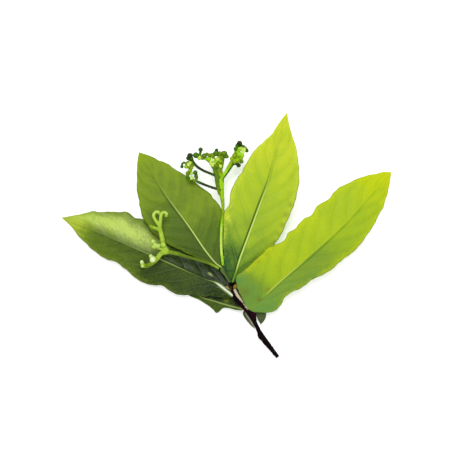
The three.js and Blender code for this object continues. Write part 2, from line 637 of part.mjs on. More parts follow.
// An egg shape with its long axis along +Z, from which buds, knots and scales are made
function egg(sides, rings) {
  return new THREE.SphereGeometry(1, sides, rings).rotateX(Math.PI / 2);
}

function placed(geometry, centre, direction, scale, roll = 0) {
  const turn = new THREE.Quaternion()
    .setFromUnitVectors(new THREE.Vector3(0, 0, 1), direction.clone().normalize())
    .multiply(new THREE.Quaternion().setFromAxisAngle(new THREE.Vector3(0, 0, 1), roll));
  return geometry.applyMatrix4(new THREE.Matrix4().compose(centre, turn, scale));
}

// A swelling on the twig, at a place along it and an angle round it
function knotSolid(curve, { along, angle, length, width, out }, gap) {
  const centre = curve.getPointAt(along);
  const tangent = curve.getTangentAt(along);
  const sideways = new THREE.Vector3(tangent.y, -tangent.x, 0).normalize();
  const upward = new THREE.Vector3().crossVectors(sideways, tangent);
  const outward = sideways.multiplyScalar(Math.cos(angle)).addScaledVector(upward, Math.sin(angle));
  centre.addScaledVector(outward, valueAt(TWIG_RADII, along) * KNOT_PLACE);
  const size = new THREE.Vector3(width + gap, out + gap, length / 2 + gap);
  return solidOf(placed(egg(...KNOT_MESH), centre, tangent, size));
}

// Bud scales stand round the twig's top and lean outwards.
function scaleSolids(curve, gap) {
  const centre = curve.getPointAt(SCALE_PLACE);
  const tangent = curve.getTangentAt(SCALE_PLACE);
  const sideways = new THREE.Vector3(tangent.y, -tangent.x, 0).normalize();
  const upward = new THREE.Vector3().crossVectors(sideways, tangent);
  const radius = valueAt(TWIG_RADII, SCALE_PLACE);
  const size = new THREE.Vector3(SCALE_THICKNESS + gap, SCALE_WIDTH + gap, SCALE_LENGTH / 2 + gap);
  const solids = [];
  for (let i = 0; i < BUD_SCALES; i += 1) {
    const angle = 2 * Math.PI * i / BUD_SCALES;
    const outward = sideways.clone().multiplyScalar(Math.cos(angle))
      .addScaledVector(upward, Math.sin(angle));
    const direction = tangent.clone().addScaledVector(outward, SCALE_LEAN).normalize();
    const spot = centre.clone().addScaledVector(outward, radius);
    const flatSide = outward.clone().addScaledVector(direction, -outward.dot(direction)).normalize();
    const basis = new THREE.Matrix4().makeBasis(
      flatSide, new THREE.Vector3().crossVectors(direction, flatSide), direction);
    const shape = egg(...SCALE_MESH).applyMatrix4(new THREE.Matrix4().makeScale(size.x, size.y, size.z));
    shape.applyMatrix4(basis).translate(spot.x, spot.y, spot.z);
    solids.push(solidOf(shape));
  }
  return solids;
}

// What lies below the surface is cut away, which leaves the flat that the twig rests on.
function cutAtSurface(solid) {
  const slab = new THREE.BoxGeometry(...SURFACE_SLAB);
  slab.translate(0, 0, -SURFACE_SLAB[2] / 2);
  return solid.subtract(solidOf(slab));
}

// The twig grown by a gap, which is none for the twig itself, and otherwise gives the room that the
// twig and the gap round it take from the pieces that meet it.
function twigSolid(gap = 0) {
  const curve = smoothLine(TWIG_LINE);
  const wood = solidOf(stem(TWIG_LINE, twigRadius, TWIG_SIDES, TWIG_STEPS, gap));
  const knots = KNOTS.map((knot) => knotSolid(curve, knot, gap));
  return joined([wood, ...knots, ...scaleSolids(curve, gap)]);
}

function shootSolid(gap = 0) {
  const radiusAt = (along) => valueAt(SHOOT_RADII, along);
  return solidOf(stem(SHOOT_LINE, radiusAt, SHOOT_SIDES, SHOOT_STEPS, gap));
}

// A branch's radii stand at even steps along it.
function sprayBranch({ line, radii, steps, sides }) {
  const stations = radii.map((radius, i) => [i / (radii.length - 1), radius]);
  return solidOf(stem(line, (along) => valueAt(stations, along), sides, steps));
}

function spraySolid(spray, seed) {
  const random = seededRandom(seed);
  const branches = spray.branches.map(sprayBranch);
  const buds = spray.buds.map(([x, y, z, radius]) => {
    const stretch = 1 + BUD_SPREAD * (random() - 0.5);
    const size = new THREE.Vector3(radius, radius, radius * stretch);
    const direction = new THREE.Vector3(random() - 0.5, random() - 0.5, 1);
    return solidOf(placed(egg(...BUD_MESH), new THREE.Vector3(x, y, z), direction, size));
  });
  return joined([...branches, ...buds]);
}

function addPiece(group, name, solid, finish) {
  const material = new THREE.MeshStandardMaterial({ ...finish, metalness: 0 });
  const mesh = new THREE.Mesh(geometryOf(solid), material);
  mesh.name = name;
  group.add(mesh);
}

const sprig = new THREE.Group();
const twigRoom = twigSolid(JOIN_GAP);
const shootRoom = shootSolid(JOIN_GAP);
addPiece(sprig, 'twig', cutAtSurface(twigSolid()), BARK);
addPiece(sprig, 'green_shoot', shootSolid().subtract(twigRoom), SHOOT_GREEN);
for (const [name, leaf] of Object.entries(LEAVES)) {
  addPiece(sprig, name, leafSolid(leaf).subtract(twigRoom).subtract(shootRoom), leaf.finish);
}
Object.entries(SPRAYS).forEach(([name, spray], i) => {
  addPiece(sprig, name, spraySolid(spray, i + 1).subtract(shootRoom), spray.finish);
});

export default sprig;
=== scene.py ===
"""A cut sprig of camphor laurel, dressed for close looks round its packed solids.

The file is laid out as a Blender add-on and is run as a script. Each operator makes one piece or one
group of like pieces, and the panel in the 3D view's sidebar lists them. Lengths in the tables are
millimetres, and everything that Blender gets is in metres, in the frame of the packed model.
"""

import math
import random

import bpy
import numpy as np
from bpy.props import FloatProperty, FloatVectorProperty, IntProperty, PointerProperty
from mathutils import Matrix, Vector


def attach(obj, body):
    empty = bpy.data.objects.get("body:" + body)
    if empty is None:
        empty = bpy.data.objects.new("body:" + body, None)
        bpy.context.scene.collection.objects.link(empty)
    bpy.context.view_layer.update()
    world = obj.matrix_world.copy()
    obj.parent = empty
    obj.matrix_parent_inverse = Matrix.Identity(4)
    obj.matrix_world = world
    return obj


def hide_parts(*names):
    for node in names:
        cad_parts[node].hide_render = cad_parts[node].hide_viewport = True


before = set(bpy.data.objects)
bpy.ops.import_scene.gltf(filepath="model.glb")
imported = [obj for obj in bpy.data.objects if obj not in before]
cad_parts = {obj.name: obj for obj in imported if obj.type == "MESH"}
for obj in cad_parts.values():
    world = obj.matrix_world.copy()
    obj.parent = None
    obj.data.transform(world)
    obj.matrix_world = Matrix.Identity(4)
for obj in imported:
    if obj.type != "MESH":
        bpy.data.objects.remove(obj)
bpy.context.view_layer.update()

bl_info = {
    "name": "Camphor Leaf Sprig",
    "version": (1, 0, 0),
    "blender": (4, 5, 0),
    "location": "3D View > Sidebar > Sprig",
    "description": "Leaves with veins, a barked twig and two flower sprays round the packed sprig",
    "category": "Object",
}

MM = 0.001
SEED = 11

# The twig's centre line from its cut end to its top, and its radius at shares of its length
TWIG_LINE = [
    (22.7, -54.6, 0.8), (19.9, -51.1, 0.95), (15.9, -45.9, 1.25), (12.9, -40.2, 2.6),
    (10.6, -35.3, 4.2), (7.4, -31.6, 5.3), (4.6, -27.8, 6.4), (3.2, -24.4, 7.3), (1.6, -20.4, 8.3),
]
TWIG_RADII = [
    (0, 0.85), (0.1, 1), (0.25, 1.3), (0.36, 1), (0.46, 0.95), (0.52, 1.3), (0.57, 1.5), (0.64, 1.35),
    (0.72, 1.5), (0.8, 1.75), (0.88, 1.6), (0.95, 1.5), (1, 1.3),
]
# Swellings: share along the twig, angle round it, length, width and how far they stand out
KNOTS = [
    (0.555, -0.2, 3.4, 1.5, 1.1), (0.77, 2.7, 3.2, 1.4, 1), (0.3, 2.9, 2.6, 1, 0.9),
    (0.66, 0.6, 2.2, 1.1, 0.8),
]
# The pale strip along the upper side of the bark: how plain it is and the angle where it lies, at
# shares of the twig
PALE_STRIP_STRENGTH = [(0, 0), (0.6, 0), (0.64, 0.6), (0.74, 0.65), (0.78, 1), (0.93, 1), (0.96, 0), (1, 0)]
PALE_STRIP_ANGLE = [(0, 1.3), (0.62, 1.3), (0.76, 1.05), (0.92, 1.5), (1, 1.5)]
PALE_STRIP_SPREAD = 0.4
# Patches of young reddish bark and of dark purple bark: share along the twig, angle, and their spreads
RED_PATCH = (0.665, 2.9, 0.025, 0.7)
PURPLE_PATCH = (0.555, 0.6, 0.03, 0.9)
SHOOT_LINE = [(1.6, -20.4, 8.3), (-0.6, -17.2, 8.9), (-1.9, -15.3, 9.3), (-2.5, -14, 9.5)]
SHOOT_RADII = [(0, 1.1), (0.5, 1.0), (0.85, 1.3), (1, 1.0)]
SCALE_PLACE = 0.93
SCALE_LEAN = 0.85
SCALE_TINTS = (0.5, 0.55, 0.06, 1.0, 0.3, 0.4)

# Leaves: the midrib's line from twig to tip, the share of it where the blade starts, the stalk's
# radius, how wide and how plain the midrib's pale line is, dark patches and painted shadows, gilded
# patches and painted glints as X, Y, size and strength, then for either side the width and the rise
# of the margin at shares of the line, how the side curls, the number, phase and height of its waves,
# and how far its colour has run from the base's towards the tip's, kept low near the twig partly as
# painted shade. seam is a painted shadow beside the midrib. The pale band on a side is pale tissue on
# the bract and a painted sheen on the left leaf, and its place is the share of the width where it is
# strongest.
LEAVES = {
    "leaf_left": {
        "line": [(2.6, -26.9, 6.9), (-1.4, -23.7, 6.2), (-5.4, -20.9, 5.8), (-10, -19.4, 5.9),
            (-16.7, -16.5, 6.6), (-30.1, -10.4, 7.4), (-47.1, -3.2, 6.4), (-60.7, 2.5, 3.7),
            (-68.9, 6, 0.8), (-74.6, 8.1, -0.7)],
        "start": 0.012, "stalk": 0.75,
        # The wide pale line on the stalk, in the near-white midrib colour, is a pale stalk with a painted
        # highlight
        "rib_line": [(0, 1.3), (0.09, 1.3), (0.13, 0.5), (1, 0.5)],
        "rib_tone": [(0, 1), (0.1, 1), (0.14, 0.5), (0.4, 0.5), (0.55, 0.35), (0.75, 0.15), (1, 0)],
        # Dark patches here are mostly painted shadows of the spray and of the leaf above
        "marks_and_shadows": [(-34.2, 4, 2, 0.9), (-57, 3.9, 5, 0.5), (-24, -2, 2, 0.4)],
        # Painted glints near the stalk, drawn into the midrib's pale line
        "glints": [(-8.4, -16.7, 0.4, 0.6), (-7.8, -17.1, 0.5, 0.8), (-7.1, -17.6, 0.4, 0.7)],
        "left": {
            "width": [(0, 0.8), (0.02, 2.4), (0.045, 3.9), (0.08, 5.8), (0.12, 6.9), (0.16, 7.6),
                (0.2, 8.8), (0.25, 10.7), (0.28, 11.3), (0.32, 11.2), (0.35, 10.6), (0.4, 11.8),
                (0.46, 12.8), (0.5, 12.6), (0.54, 11.4), (0.6, 9.6), (0.63, 9.1), (0.68, 9.6),
                (0.74, 8.8), (0.8, 7.4), (0.86, 5.4), (0.9, 3.8), (0.94, 2.2), (1, 0)],
            "rise": [(0, -0.05), (0.3, -0.16), (0.6, -0.2), (0.9, -0.05), (1, 0)],
            "curl": -0.1, "waves": 3.5, "phase": 0.2, "ripple": 0.5,
            "ripe": [(0, 0.05), (0.2, 0.15), (0.5, 0.28), (0.75, 0.5), (0.86, 0.8), (1, 1)],
        },
        "right": {
            "width": [(0, 0.6), (0.02, 2.4), (0.05, 4.5), (0.08, 6.5), (0.11, 8), (0.15, 9.8),
                (0.2, 10.4), (0.26, 11), (0.34, 12.3), (0.46, 13.5), (0.58, 13.4), (0.63, 12.7),
                (0.68, 13.6), (0.74, 11.5), (0.78, 10.4), (0.81, 9.2), (0.85, 8.2), (0.885, 6.1),
                (0.92, 4.1), (0.96, 2), (1, 0)],
            "rise": [(0, -0.05), (0.3, -0.2), (0.6, -0.12), (0.9, -0.03), (1, 0)],
            "curl": -0.12, "waves": 3, "phase": 0.6, "ripple": 0.4,
            "ripe": [(0, 0), (0.3, 0.05), (0.5, 0.3), (0.75, 0.6), (0.88, 0.9), (1, 1)],
            "seam": [(0, 0), (0.1, 0), (0.3, 0.6), (0.5, 0.3), (1, 0)],
            # A painted sheen on this half of the blade
            "bloom": [(0, 0), (0.4, 0), (0.5, 0.92), (0.9, 1), (0.97, 0), (1, 0)],
            "pale_and_sheen_place": [(0, 0.1), (0.4, 0.3), (0.5, 0.4), (0.65, 0.48), (0.88, 0.6), (1, 0.7)],
        },
    },
    "leaf_upper_left": {
        "line": [(-2.4, -14.2, 8.7), (-4.9, -12.5, 8.4), (-9.6, -6.9, 8.1), (-17.2, 4.2, 8.5),
            (-27.1, 17.7, 8.3), (-34.1, 28.5, 6.7), (-39.6, 37.4, 4.4)],
        "start": 0.05, "stalk": 0.7,
        "rib_line": [(0, 0.65), (0.2, 0.8), (0.5, 0.75), (0.7, 0.6), (1, 0.55)],
        "rib_tone": [(0, 1), (0.5, 0.9), (0.75, 0.6), (0.87, 0.3), (0.93, 0), (1, 0)],
        "left": {
            "width": [(0, 0.5), (0.05, 0.7), (0.1, 2.4), (0.14, 3.9), (0.2, 6.6), (0.26, 9.1),
                (0.32, 11.2), (0.37, 13), (0.45, 14.4), (0.5, 14.8), (0.56, 14.7), (0.62, 13.9),
                (0.68, 12.4), (0.74, 10.7), (0.8, 8.9), (0.86, 6.5), (0.9, 4.9), (0.94, 3.1),
                (0.97, 1.7), (1, 0)],
            "rise": [(0, 0), (0.5, -0.02), (1, -0.05)],
            "curl": -0.05, "waves": 2.5, "phase": 0.1, "ripple": 0.35,
            "ripe": [(0, 0.1), (0.2, 0.2), (0.4, 0.4), (0.6, 0.56), (0.85, 0.72), (1, 1)],
            "seam": [(0, 0), (0.2, 0.3), (0.7, 0.5), (0.85, 0), (1, 0)],
        },
        "right": {
            "width": [(0, 0.5), (0.05, 5.4), (0.1, 8.8), (0.18, 11.6), (0.26, 14.3), (0.32, 15.9),
                (0.37, 16.4), (0.42, 16.4), (0.48, 16), (0.54, 14.7), (0.6, 14.1), (0.67, 12.5),
                (0.72, 11), (0.77, 9.5), (0.82, 8.1), (0.86, 6.5), (0.9, 4.9), (0.94, 3.2), (1, 0)],
            "rise": [(0, -0.1), (0.5, -0.06), (1, -0.05)],
            "curl": -0.04, "waves": 2, "phase": 0.5, "ripple": 0.35,
            "ripe": [(0, 0.2), (0.2, 0.46), (0.4, 0.66), (0.6, 0.7), (0.85, 0.76), (1, 1)],
        },
    },
    "leaf_upper_right": {
        "line": [(2, -21.2, 8.8), (3.9, -15.8, 10.4), (5.4, -10.7, 11.1), (9.6, 0.7, 12),
            (14.1, 12.9, 12.1), (18.3, 24, 11.1), (20.8, 32.9, 9.7), (23.1, 41.2, 7.8),
            (26.7, 55.2, 4.1)],
        "start": 0.015, "stalk": 0.75,
        "rib_line": [(0, 0.8), (1, 0.8)],
        "rib_tone": [(0, 0.3), (0.06, 0.5), (0.1, 1), (0.5, 1), (0.62, 0.6), (0.8, 0.3), (1, 0)],
        # Painted shadows at the blade's base and along its right margin
        "marks_and_shadows": [(4, -20, 2.2, 0.9), (2.6, -15, 2.4, 0.35), (3.2, -7, 3, 0.3), (28.2, 13.7, 1.2, 0.7),
            (26.4, 9.2, 1.2, 0.7), (24.7, 4.8, 1.2, 0.7), (22.9, 0.4, 1.2, 0.7),
            (21.1, -3.2, 1.2, 0.7)],
        "gilt": [(0.2, 8, 2.4, 0.8)],
        "left": {
            "width": [(0, 0.5), (0.015, 1), (0.035, 2.6), (0.07, 5.3), (0.1, 6.3), (0.14, 7.5),
                (0.2, 9.5), (0.26, 11.4), (0.3, 12.5), (0.335, 13.4), (0.36, 13.7), (0.38, 13.1),
                (0.4, 13), (0.46, 14.1), (0.54, 13.8), (0.6, 12.8), (0.66, 11.7), (0.72, 10.6),
                (0.77, 8.6), (0.82, 6), (0.86, 4.3), (0.91, 3), (0.95, 1.8), (1, 0)],
            "rise": [(0, 0.1), (0.15, 0.34), (0.4, 0.2), (0.7, 0.1), (1, 0)],
            "curl": -0.04, "waves": 2.5, "phase": 0.3, "ripple": 0.45,
            "ripe": [(0, 0), (0.12, 0.07), (0.25, 0.36), (0.4, 0.56), (0.7, 0.8), (1, 1)],
            "seam": [(0, 0.5), (0.06, 0.9), (0.5, 0.9), (0.62, 0.5), (0.8, 0.2), (1, 0)],
        },
        "right": {
            "width": [(0, 0.5), (0.015, 1.3), (0.035, 3.9), (0.07, 7.3), (0.11, 9.5), (0.16, 11),
                (0.22, 12.1), (0.29, 12.4), (0.34, 13.3), (0.42, 14), (0.47, 13.9), (0.54, 14.1),
                (0.6, 13.5), (0.66, 12.5), (0.72, 11.3), (0.77, 9.5), (0.82, 7.6), (0.86, 5.9),
                (0.9, 3.8), (0.94, 2.1), (1, 0)],
            "rise": [(0, -0.22), (0.25, -0.18), (0.5, -0.02), (1, 0.05)],
            "curl": -0.06, "waves": 3, "phase": 0.8, "ripple": 0.5,
            "ripe": [(0, 0.04), (0.12, 0.18), (0.25, 0.46), (0.5, 0.65), (0.8, 0.85), (1, 1)],
        },
    },
    "leaf_right": {
        "line": [(8.9, -32.6, 5.7), (16.5, -26.7, 7.4), (24.3, -19.6, 9), (40, -6.1, 9.5),
            (54.5, 7.6, 6.8), (64, 18.3, 3.5), (69.6, 24.4, 0.9), (73.8, 28.6, -0.7)],
        "start": 0.012, "stalk": 0.8,
        "rib_line": [(0, 0.75), (1, 0.75)],
        "rib_tone": [(0, 0), (0.09, 0), (0.13, 0.9), (0.35, 0.9), (0.42, 0.3), (0.5, 0), (1, 0)],
        "marks_and_shadows": [(7.4, -25.1, 2.4, 0.6), (14.2, -28.6, 1.3, 0.6), (18.6, -24.1, 1.2, 0.6),
            (13.6, -11.2, 1, 0.6), (17.1, -7.9, 1, 0.6), (20.2, -4.5, 1, 0.6)],
        "gilt": [(71.5, 27.2, 3, 0.7)],
        "left": {
            "width": [(0, 0.6), (0.015, 6.8), (0.022, 9.5), (0.03, 11.4), (0.045, 14.2), (0.06, 14.9),
                (0.08, 14.8), (0.14, 14.5), (0.22, 14.8), (0.28, 14.7), (0.32, 13.6), (0.36, 12.9),
                (0.4, 14.3), (0.44, 13.4), (0.5, 14.4), (0.55, 13.1), (0.6, 14.2), (0.66, 13.1),
                (0.7, 13), (0.76, 12.7), (0.82, 10.5), (0.86, 9.1), (0.9, 6.7), (0.94, 4.4),
                (0.97, 2.7), (1, 0)],
            "rise": [(0, 0.5), (0.1, 0.52), (0.25, 0.36), (0.5, 0.12), (0.75, 0.02), (1, 0)],
            "curl": -0.08, "waves": 5, "phase": 0.15, "ripple": 0.6,
            "ripe": [(0, 0), (0.06, 0.03), (0.11, 0.15), (0.17, 0.5), (0.5, 0.7), (0.8, 0.8), (1, 1)],
        },
        "right": {
            "width": [(0, 0.6), (0.015, 3), (0.03, 4.2), (0.05, 5.7), (0.07, 7.1), (0.09, 8),
                (0.15, 7.8), (0.18, 6.8), (0.22, 7.1), (0.27, 8.4), (0.33, 8.9), (0.38, 9.7),
                (0.44, 11.1), (0.48, 11.1), (0.55, 11.5), (0.62, 11.9), (0.66, 11.1), (0.72, 10.2),
                (0.79, 9), (0.83, 8.2), (0.87, 6.7), (0.91, 5.3), (0.95, 3.3), (1, 0)],
            "rise": [(0, -0.12), (0.3, -0.16), (0.6, -0.2), (0.85, -0.1), (1, 0)],
            "curl": -0.06, "waves": 4, "phase": 0.55, "ripple": 0.5,
            "ripe": [(0, 0), (0.15, 0.12), (0.4, 0.2), (0.55, 0.5), (0.8, 0.75), (1, 1)],
            "seam": [(0, 0), (0.2, 0.3), (0.35, 0.8), (0.5, 0.6), (0.8, 0.3), (1, 0)],
        },
    },
}
SMALL_LEAVES = {
    "leaf_small_left": {
        "line": [(6.9, -32.7, 5.2), (2.6, -31.8, 3.7), (-1.6, -30.7, 3), (-6.1, -29.3, 2.5),
            (-11, -27.8, 2.1), (-17, -23.8, 1.8), (-23.5, -19.8, 1.5)],
        "start": 0.03, "stalk": 0.6,
        "rib_line": [(0, 0.7), (1, 0.7)],
        "gilt": [(-0.4, -28.8, 1.3, 0.8)],
        "rib_tone": [(0, 0.6), (0.4, 0.6), (1, 0.1)],
        "left": {
            "width": [(0, 0.8), (0.1, 1.2), (0.2, 1.2), (0.27, 2.1), (0.315, 4.7), (0.395, 3.6),
                (0.49, 2.4), (0.58, 1.7), (0.72, 2.7), (0.86, 2.6), (1, 0)],
            "rise": [(0, -0.05), (0.4, -0.1), (1, -0.1)],
            "curl": -0.05, "waves": 1, "phase": 0, "ripple": 0,
            "ripe": [(0, 0.2), (1, 0.4)],
        },
        "right": {
            "width": [(0, 0.6), (0.05, 2.6), (0.1, 4), (0.2, 5), (0.3, 5.4), (0.5, 5.6), (0.7, 4.6),
                (0.85, 2.6), (1, 0)],
            "rise": [(0, 0), (1, -0.05)],
            "curl": -0.05, "waves": 1, "phase": 0, "ripple": 0,
            "ripe": [(0, 0), (1, 0.2)],
        },
    },
    "leaf_small_right": {
        "line": [(9.8, -33, 4.3), (12.2, -31.7, 3.1), (14.1, -32.6, 2.4), (15.1, -35.6, 2),
            (15, -39.8, 1.6)],
        "start": 0.14, "stalk": 0.6,
        "rib_line": [(0, 0.7), (1, 0.7)],
        "rib_tone": [(0, 0.3), (1, 0)],
        "left": {
            "width": [(0, 0.4), (0.12, 0.6), (0.4, 2.4), (0.65, 2.4), (0.85, 1.5), (1, 0)],
            "rise": [(0, 0.1), (1, 0)],
            "curl": 0.05, "waves": 1, "phase": 0, "ripple": 0,
            "ripe": [(0, 0), (1, 1)],
        },
        "right": {
            "width": [(0, 0.4), (0.12, 0.6), (0.4, 1.8), (0.65, 2.3), (0.85, 1.4), (1, 0)],
            "rise": [(0, 0.1), (1, 0)],
            "curl": 0.05, "waves": 1, "phase": 0, "ripple": 0,
            "ripe": [(0, 0), (1, 1)],
        },
    },
    "bract": {
        "line": [(9, -33.4, 4.6), (7.8, -34.5, 3.6), (9, -36.9, 2.8), (10.6, -39.2, 2.1),
            (12.2, -41.6, 1.5)],
        "start": 0.2, "stalk": 0.5,
        "rib_line": [(0, 0.7), (1, 0.7)],
        "rib_tone": [(0, 0), (0.3, 0.3), (1, 1)],
        "left": {
            "width": [(0, 0.5), (0.3, 1), (0.6, 1), (0.85, 0.7), (1, 0)],
            "rise": [(0, 0.2), (1, 0.2)],
            "curl": 0.1, "waves": 1, "phase": 0, "ripple": 0,
            "ripe": [(0, 0), (1, 1)],
            "bloom": [(0, 0), (0.25, 0.8), (0.85, 0.9), (1, 0.4)],
            "pale_and_sheen_place": [(0, 0.4), (1, 0.4)],
        },
        "right": {
            "width": [(0, 0.5), (0.3, 1), (0.6, 0.9), (0.85, 0.6), (1, 0)],
            "rise": [(0, 0.2), (1, 0.2)],
            "curl": 0.1, "waves": 1, "phase": 0, "ripple": 0,
            "ripe": [(0, 0), (1, 1)],
        },
    },
}

# Sprays. A branch is its line, with its radii and its tints at even steps. A bud is its centre, radius
# and tint. Tint 0 is the darkest finish and 1 the palest; the palest tints are largely painted
# highlights on the buds and curls.
UPPER_BRANCHES = [
    ([(-1.9, -13.1, 10.4), (-2.3, -10.4, 11), (-2.7, -6.5, 11.2), (-2.8, -2, 11.3), (-2.7, 3, 11.5),
      (-2.2, 8, 11.6), (-2, 13.5, 11.3), (-2.6, 18.5, 10.8), (-3, 23.5, 11), (-3.2, 27.5, 11.4),
      (-3.9, 30, 11.7)], (0.65, 0.65, 0.65, 0.65, 0.65, 0.75, 1.15, 1.5, 1.2),
      (0.7, 0.9, 0.9, 0.86, 0.6, 0.55, 0.68, 0.72, 0.5)),
    ([(-3.1, 20.3, 10.8), (-8.6, 22.1, 10.6), (-12, 23.5, 10.7), (-13.9, 24.5, 10.9),
      (-13.6, 26.3, 11.2), (-14.3, 28, 11.6)], (0.6, 0.6, 0.6, 0.65, 0.65),
      (0.2, 0.02, 0.02, 0.26, 0.3)),
    ([(-13.7, 24.7, 10.9), (-15.9, 24.5, 11), (-17.5, 25.6, 11.4), (-17.6, 27.6, 11.7)], (0.65, 0.75),
      (0.45, 0.42)),
    ([(-3.8, 26.1, 11.4), (-7.7, 27.7, 11.7), (-10.8, 29, 12), (-13.7, 30.9, 12.2), (-15.3, 32.9, 12.4),
      (-16.4, 35.3, 12.6)], (0.65, 0.6, 0.6, 0.65, 0.7), (0.3, 0.02, 0.02, 0.06, 0.02)),
    ([(-14.6, 31.6, 12.2), (-16.6, 30.7, 12.6), (-18.1, 31.5, 12.8), (-19, 32.6, 12.8),
      (-20, 32.1, 12.8), (-20.2, 30.9, 12.8)], (0.6, 0.55), (0.35, 0.6, 0.2, 0.2)),
    ([(-15.7, 31.6, 12.5), (-16.3, 32.9, 13), (-17.9, 32.7, 13.2), (-18.5, 31.3, 13.2),
      (-17.6, 30.2, 13.1), (-16.4, 30.2, 13)], (0.5, 0.45), (0.45, 0.4, 0.45, 0.5)),
    ([(-3.9, 30, 11.7), (-6.9, 32.2, 12), (-9.5, 34.1, 12.2), (-12.2, 35, 12.4), (-13.7, 36, 12.6)],
      (0.8, 0.7), (0.35, 0.5, 0.75, 0.4)),
    ([(-12.2, 35, 12.4), (-12, 37.1, 12.7), (-11.8, 38.4, 12.8)], (0.65, 0.6), (0.4, 0.1)),
    ([(-3.9, 30, 11.7), (-5.7, 33.1, 12.6), (-6.2, 35.3, 13), (-4.9, 37.3, 13.2)], (0.8, 0.65),
      (0.3, 0.4, 0.4, 0.3)),
    ([(-5.6, 32.4, 12.5), (-6.6, 31.6, 13), (-7.6, 32.4, 13.1), (-7.2, 33.5, 13.1), (-6.2, 33.6, 13.1)],
      (0.45, 0.4), (0.8, 0.98, 0.98)),
    ([(-5.9, 34, 12.8), (-5.1, 33.4, 13.2), (-4, 33.7, 13.4), (-3.6, 34.7, 13.4), (-4.4, 35.5, 13.4)],
      (0.45, 0.4), (0.45, 0.6, 0.5)),
    ([(-3.3, 28.3, 11.5), (-2.4, 31.6, 12), (-1.8, 34.9, 12.4), (-1.8, 36.4, 12.6)], (0.8, 0.65),
      (0.5, 0.38, 0.35)),
    ([(-2.9, 24.3, 11.1), (-0.7, 28.5, 11.4), (1.3, 32, 11.8), (3.3, 34.9, 12.2), (4, 38, 12.6),
      (5.3, 40.8, 12.8)], (0.65, 0.65, 0.8, 0.9, 0.8), (0.65, 0.72, 0.6, 0.5, 0.2)),
    ([(4, 37.1, 12.5), (6, 39.3, 12.8), (7.7, 39.5, 12.8), (8.5, 37.8, 12.6)], (0.65, 0.6),
      (0.5, 0.3, 0.2)),
    ([(4.6, 37.3, 12.9), (5.5, 38.6, 13.3), (6.8, 39, 13.5), (7.8, 38.2, 13.5), (7.4, 37, 13.4),
      (6.2, 36.8, 13.3)], (0.5, 0.45), (0.7, 0.95, 0.98, 0.9)),
    ([(-2.4, 24.9, 11.1), (0.9, 29.4, 11.2), (2.9, 32, 11.6), (4.9, 31.4, 11.4)], (0.5, 0.6),
      (0.4, 0.2, 0.3, 0.1)),
    # A darker strand beside the left of the main stalk, partly standing in for the shade on that side
    ([(-3.7, 18.2, 10.9), (-4.4, 22.5, 11.2), (-4.9, 26.5, 11.6), (-5.8, 29.8, 12), (-7.5, 32.4, 12.3)],
      (0.4, 0.85, 1, 0.95, 0.8), (0.42, 0.34, 0.3, 0.34, 0.45)),
]
UPPER_BUDS = [
    (-14.3, 28.1, 11.7, 1.1, 0.3), (-17.6, 27.7, 11.8, 1.1, 0.4), (-14, 26.5, 11.3, 0.95, 0.3),
    (-17.5, 25.6, 11.6, 1, 0.3), (-15.9, 24.7, 11.1, 0.95, 0.3), (-15.9, 25.6, 11.6, 0.9, 1),
    (-16.6, 35.5, 12.8, 1.4, 0.02), (-16.1, 34.1, 12.7, 1.2, 0.1), (-17.5, 34.4, 12.7, 1, 0.12),
    (-16.6, 32.3, 13, 0.9, 0.9), (-18.4, 30.6, 12.9, 0.9, 0.6), (-15.9, 30.2, 12.8, 0.9, 0.55),
    (-20.2, 30.7, 12.8, 0.85, 0.2), (-17.3, 31.4, 13.2, 0.8, 1), (-13.9, 35.7, 12.8, 1.5, 0.27),
    (-11.9, 38.2, 13.1, 1.1, 0.1), (-10.2, 35.5, 12.9, 1.3, 0.33), (-8.2, 34.1, 12.7, 1.2, 0.72),
    (-12.4, 34.6, 12.6, 1.1, 0.88), (-9.2, 36.2, 12.8, 0.9, 0.4), (-5.1, 36.5, 13.4, 1.4, 0.28),
    (-4.8, 37.9, 13.5, 0.9, 0.1), (-6.8, 35.7, 13.2, 1.2, 0.5), (-3.4, 36.4, 13, 1.2, 0.42),
    (-1.5, 36.3, 13, 1.6, 0.36), (-0.4, 35.2, 12.8, 1.1, 0.38), (-2.6, 34.9, 13, 1, 0.5),
    (-3.1, 30.9, 12.8, 0.9, 0.9), (-5.1, 30.9, 12.4, 1.1, 0.45), (5.3, 40.9, 13.2, 1.4, 0),
    (3.7, 38.5, 13, 1.1, 0.3), (4.4, 39.9, 12.9, 1.1, 0.25), (8.5, 37.8, 12.8, 1, 0.2),
    (6.9, 39.5, 13.1, 1, 0.3), (5.1, 36.2, 13, 1.3, 0.75), (6.7, 38, 12.9, 0.8, 1),
    (6.5, 35.7, 12.9, 1.1, 0.7), (5.9, 34.4, 12.5, 1.1, 0.62), (4.6, 33.6, 12.4, 1.4, 0.58),
    (3.2, 33.1, 12.3, 1.4, 0.6), (3.3, 35.5, 12.7, 1.4, 0.55), (2, 34.3, 12.2, 1.1, 0.6),
    (6.2, 32.9, 12.1, 1, 0.4), (4.9, 31.3, 11.8, 1.1, 0.05), (-11.1, 34.5, 12.5, 1, 0.45),
    (-4.4, 34, 12.9, 1.1, 0.85), (-3.1, 33.2, 12.6, 1.1, 0.6), (-5.1, 33, 12.6, 0.9, 0.7),
    (5.3, 37.9, 13, 0.85, 0.75), (4.2, 35, 12.6, 0.9, 0.6), (-3.9, 32.1, 12.4, 1, 0.5),
    (-8.2, 35.8, 12.9, 0.9, 0.45), (-16.6, 29, 12.3, 1, 0.6), (-16, 27.6, 12, 0.85, 0.85),
]
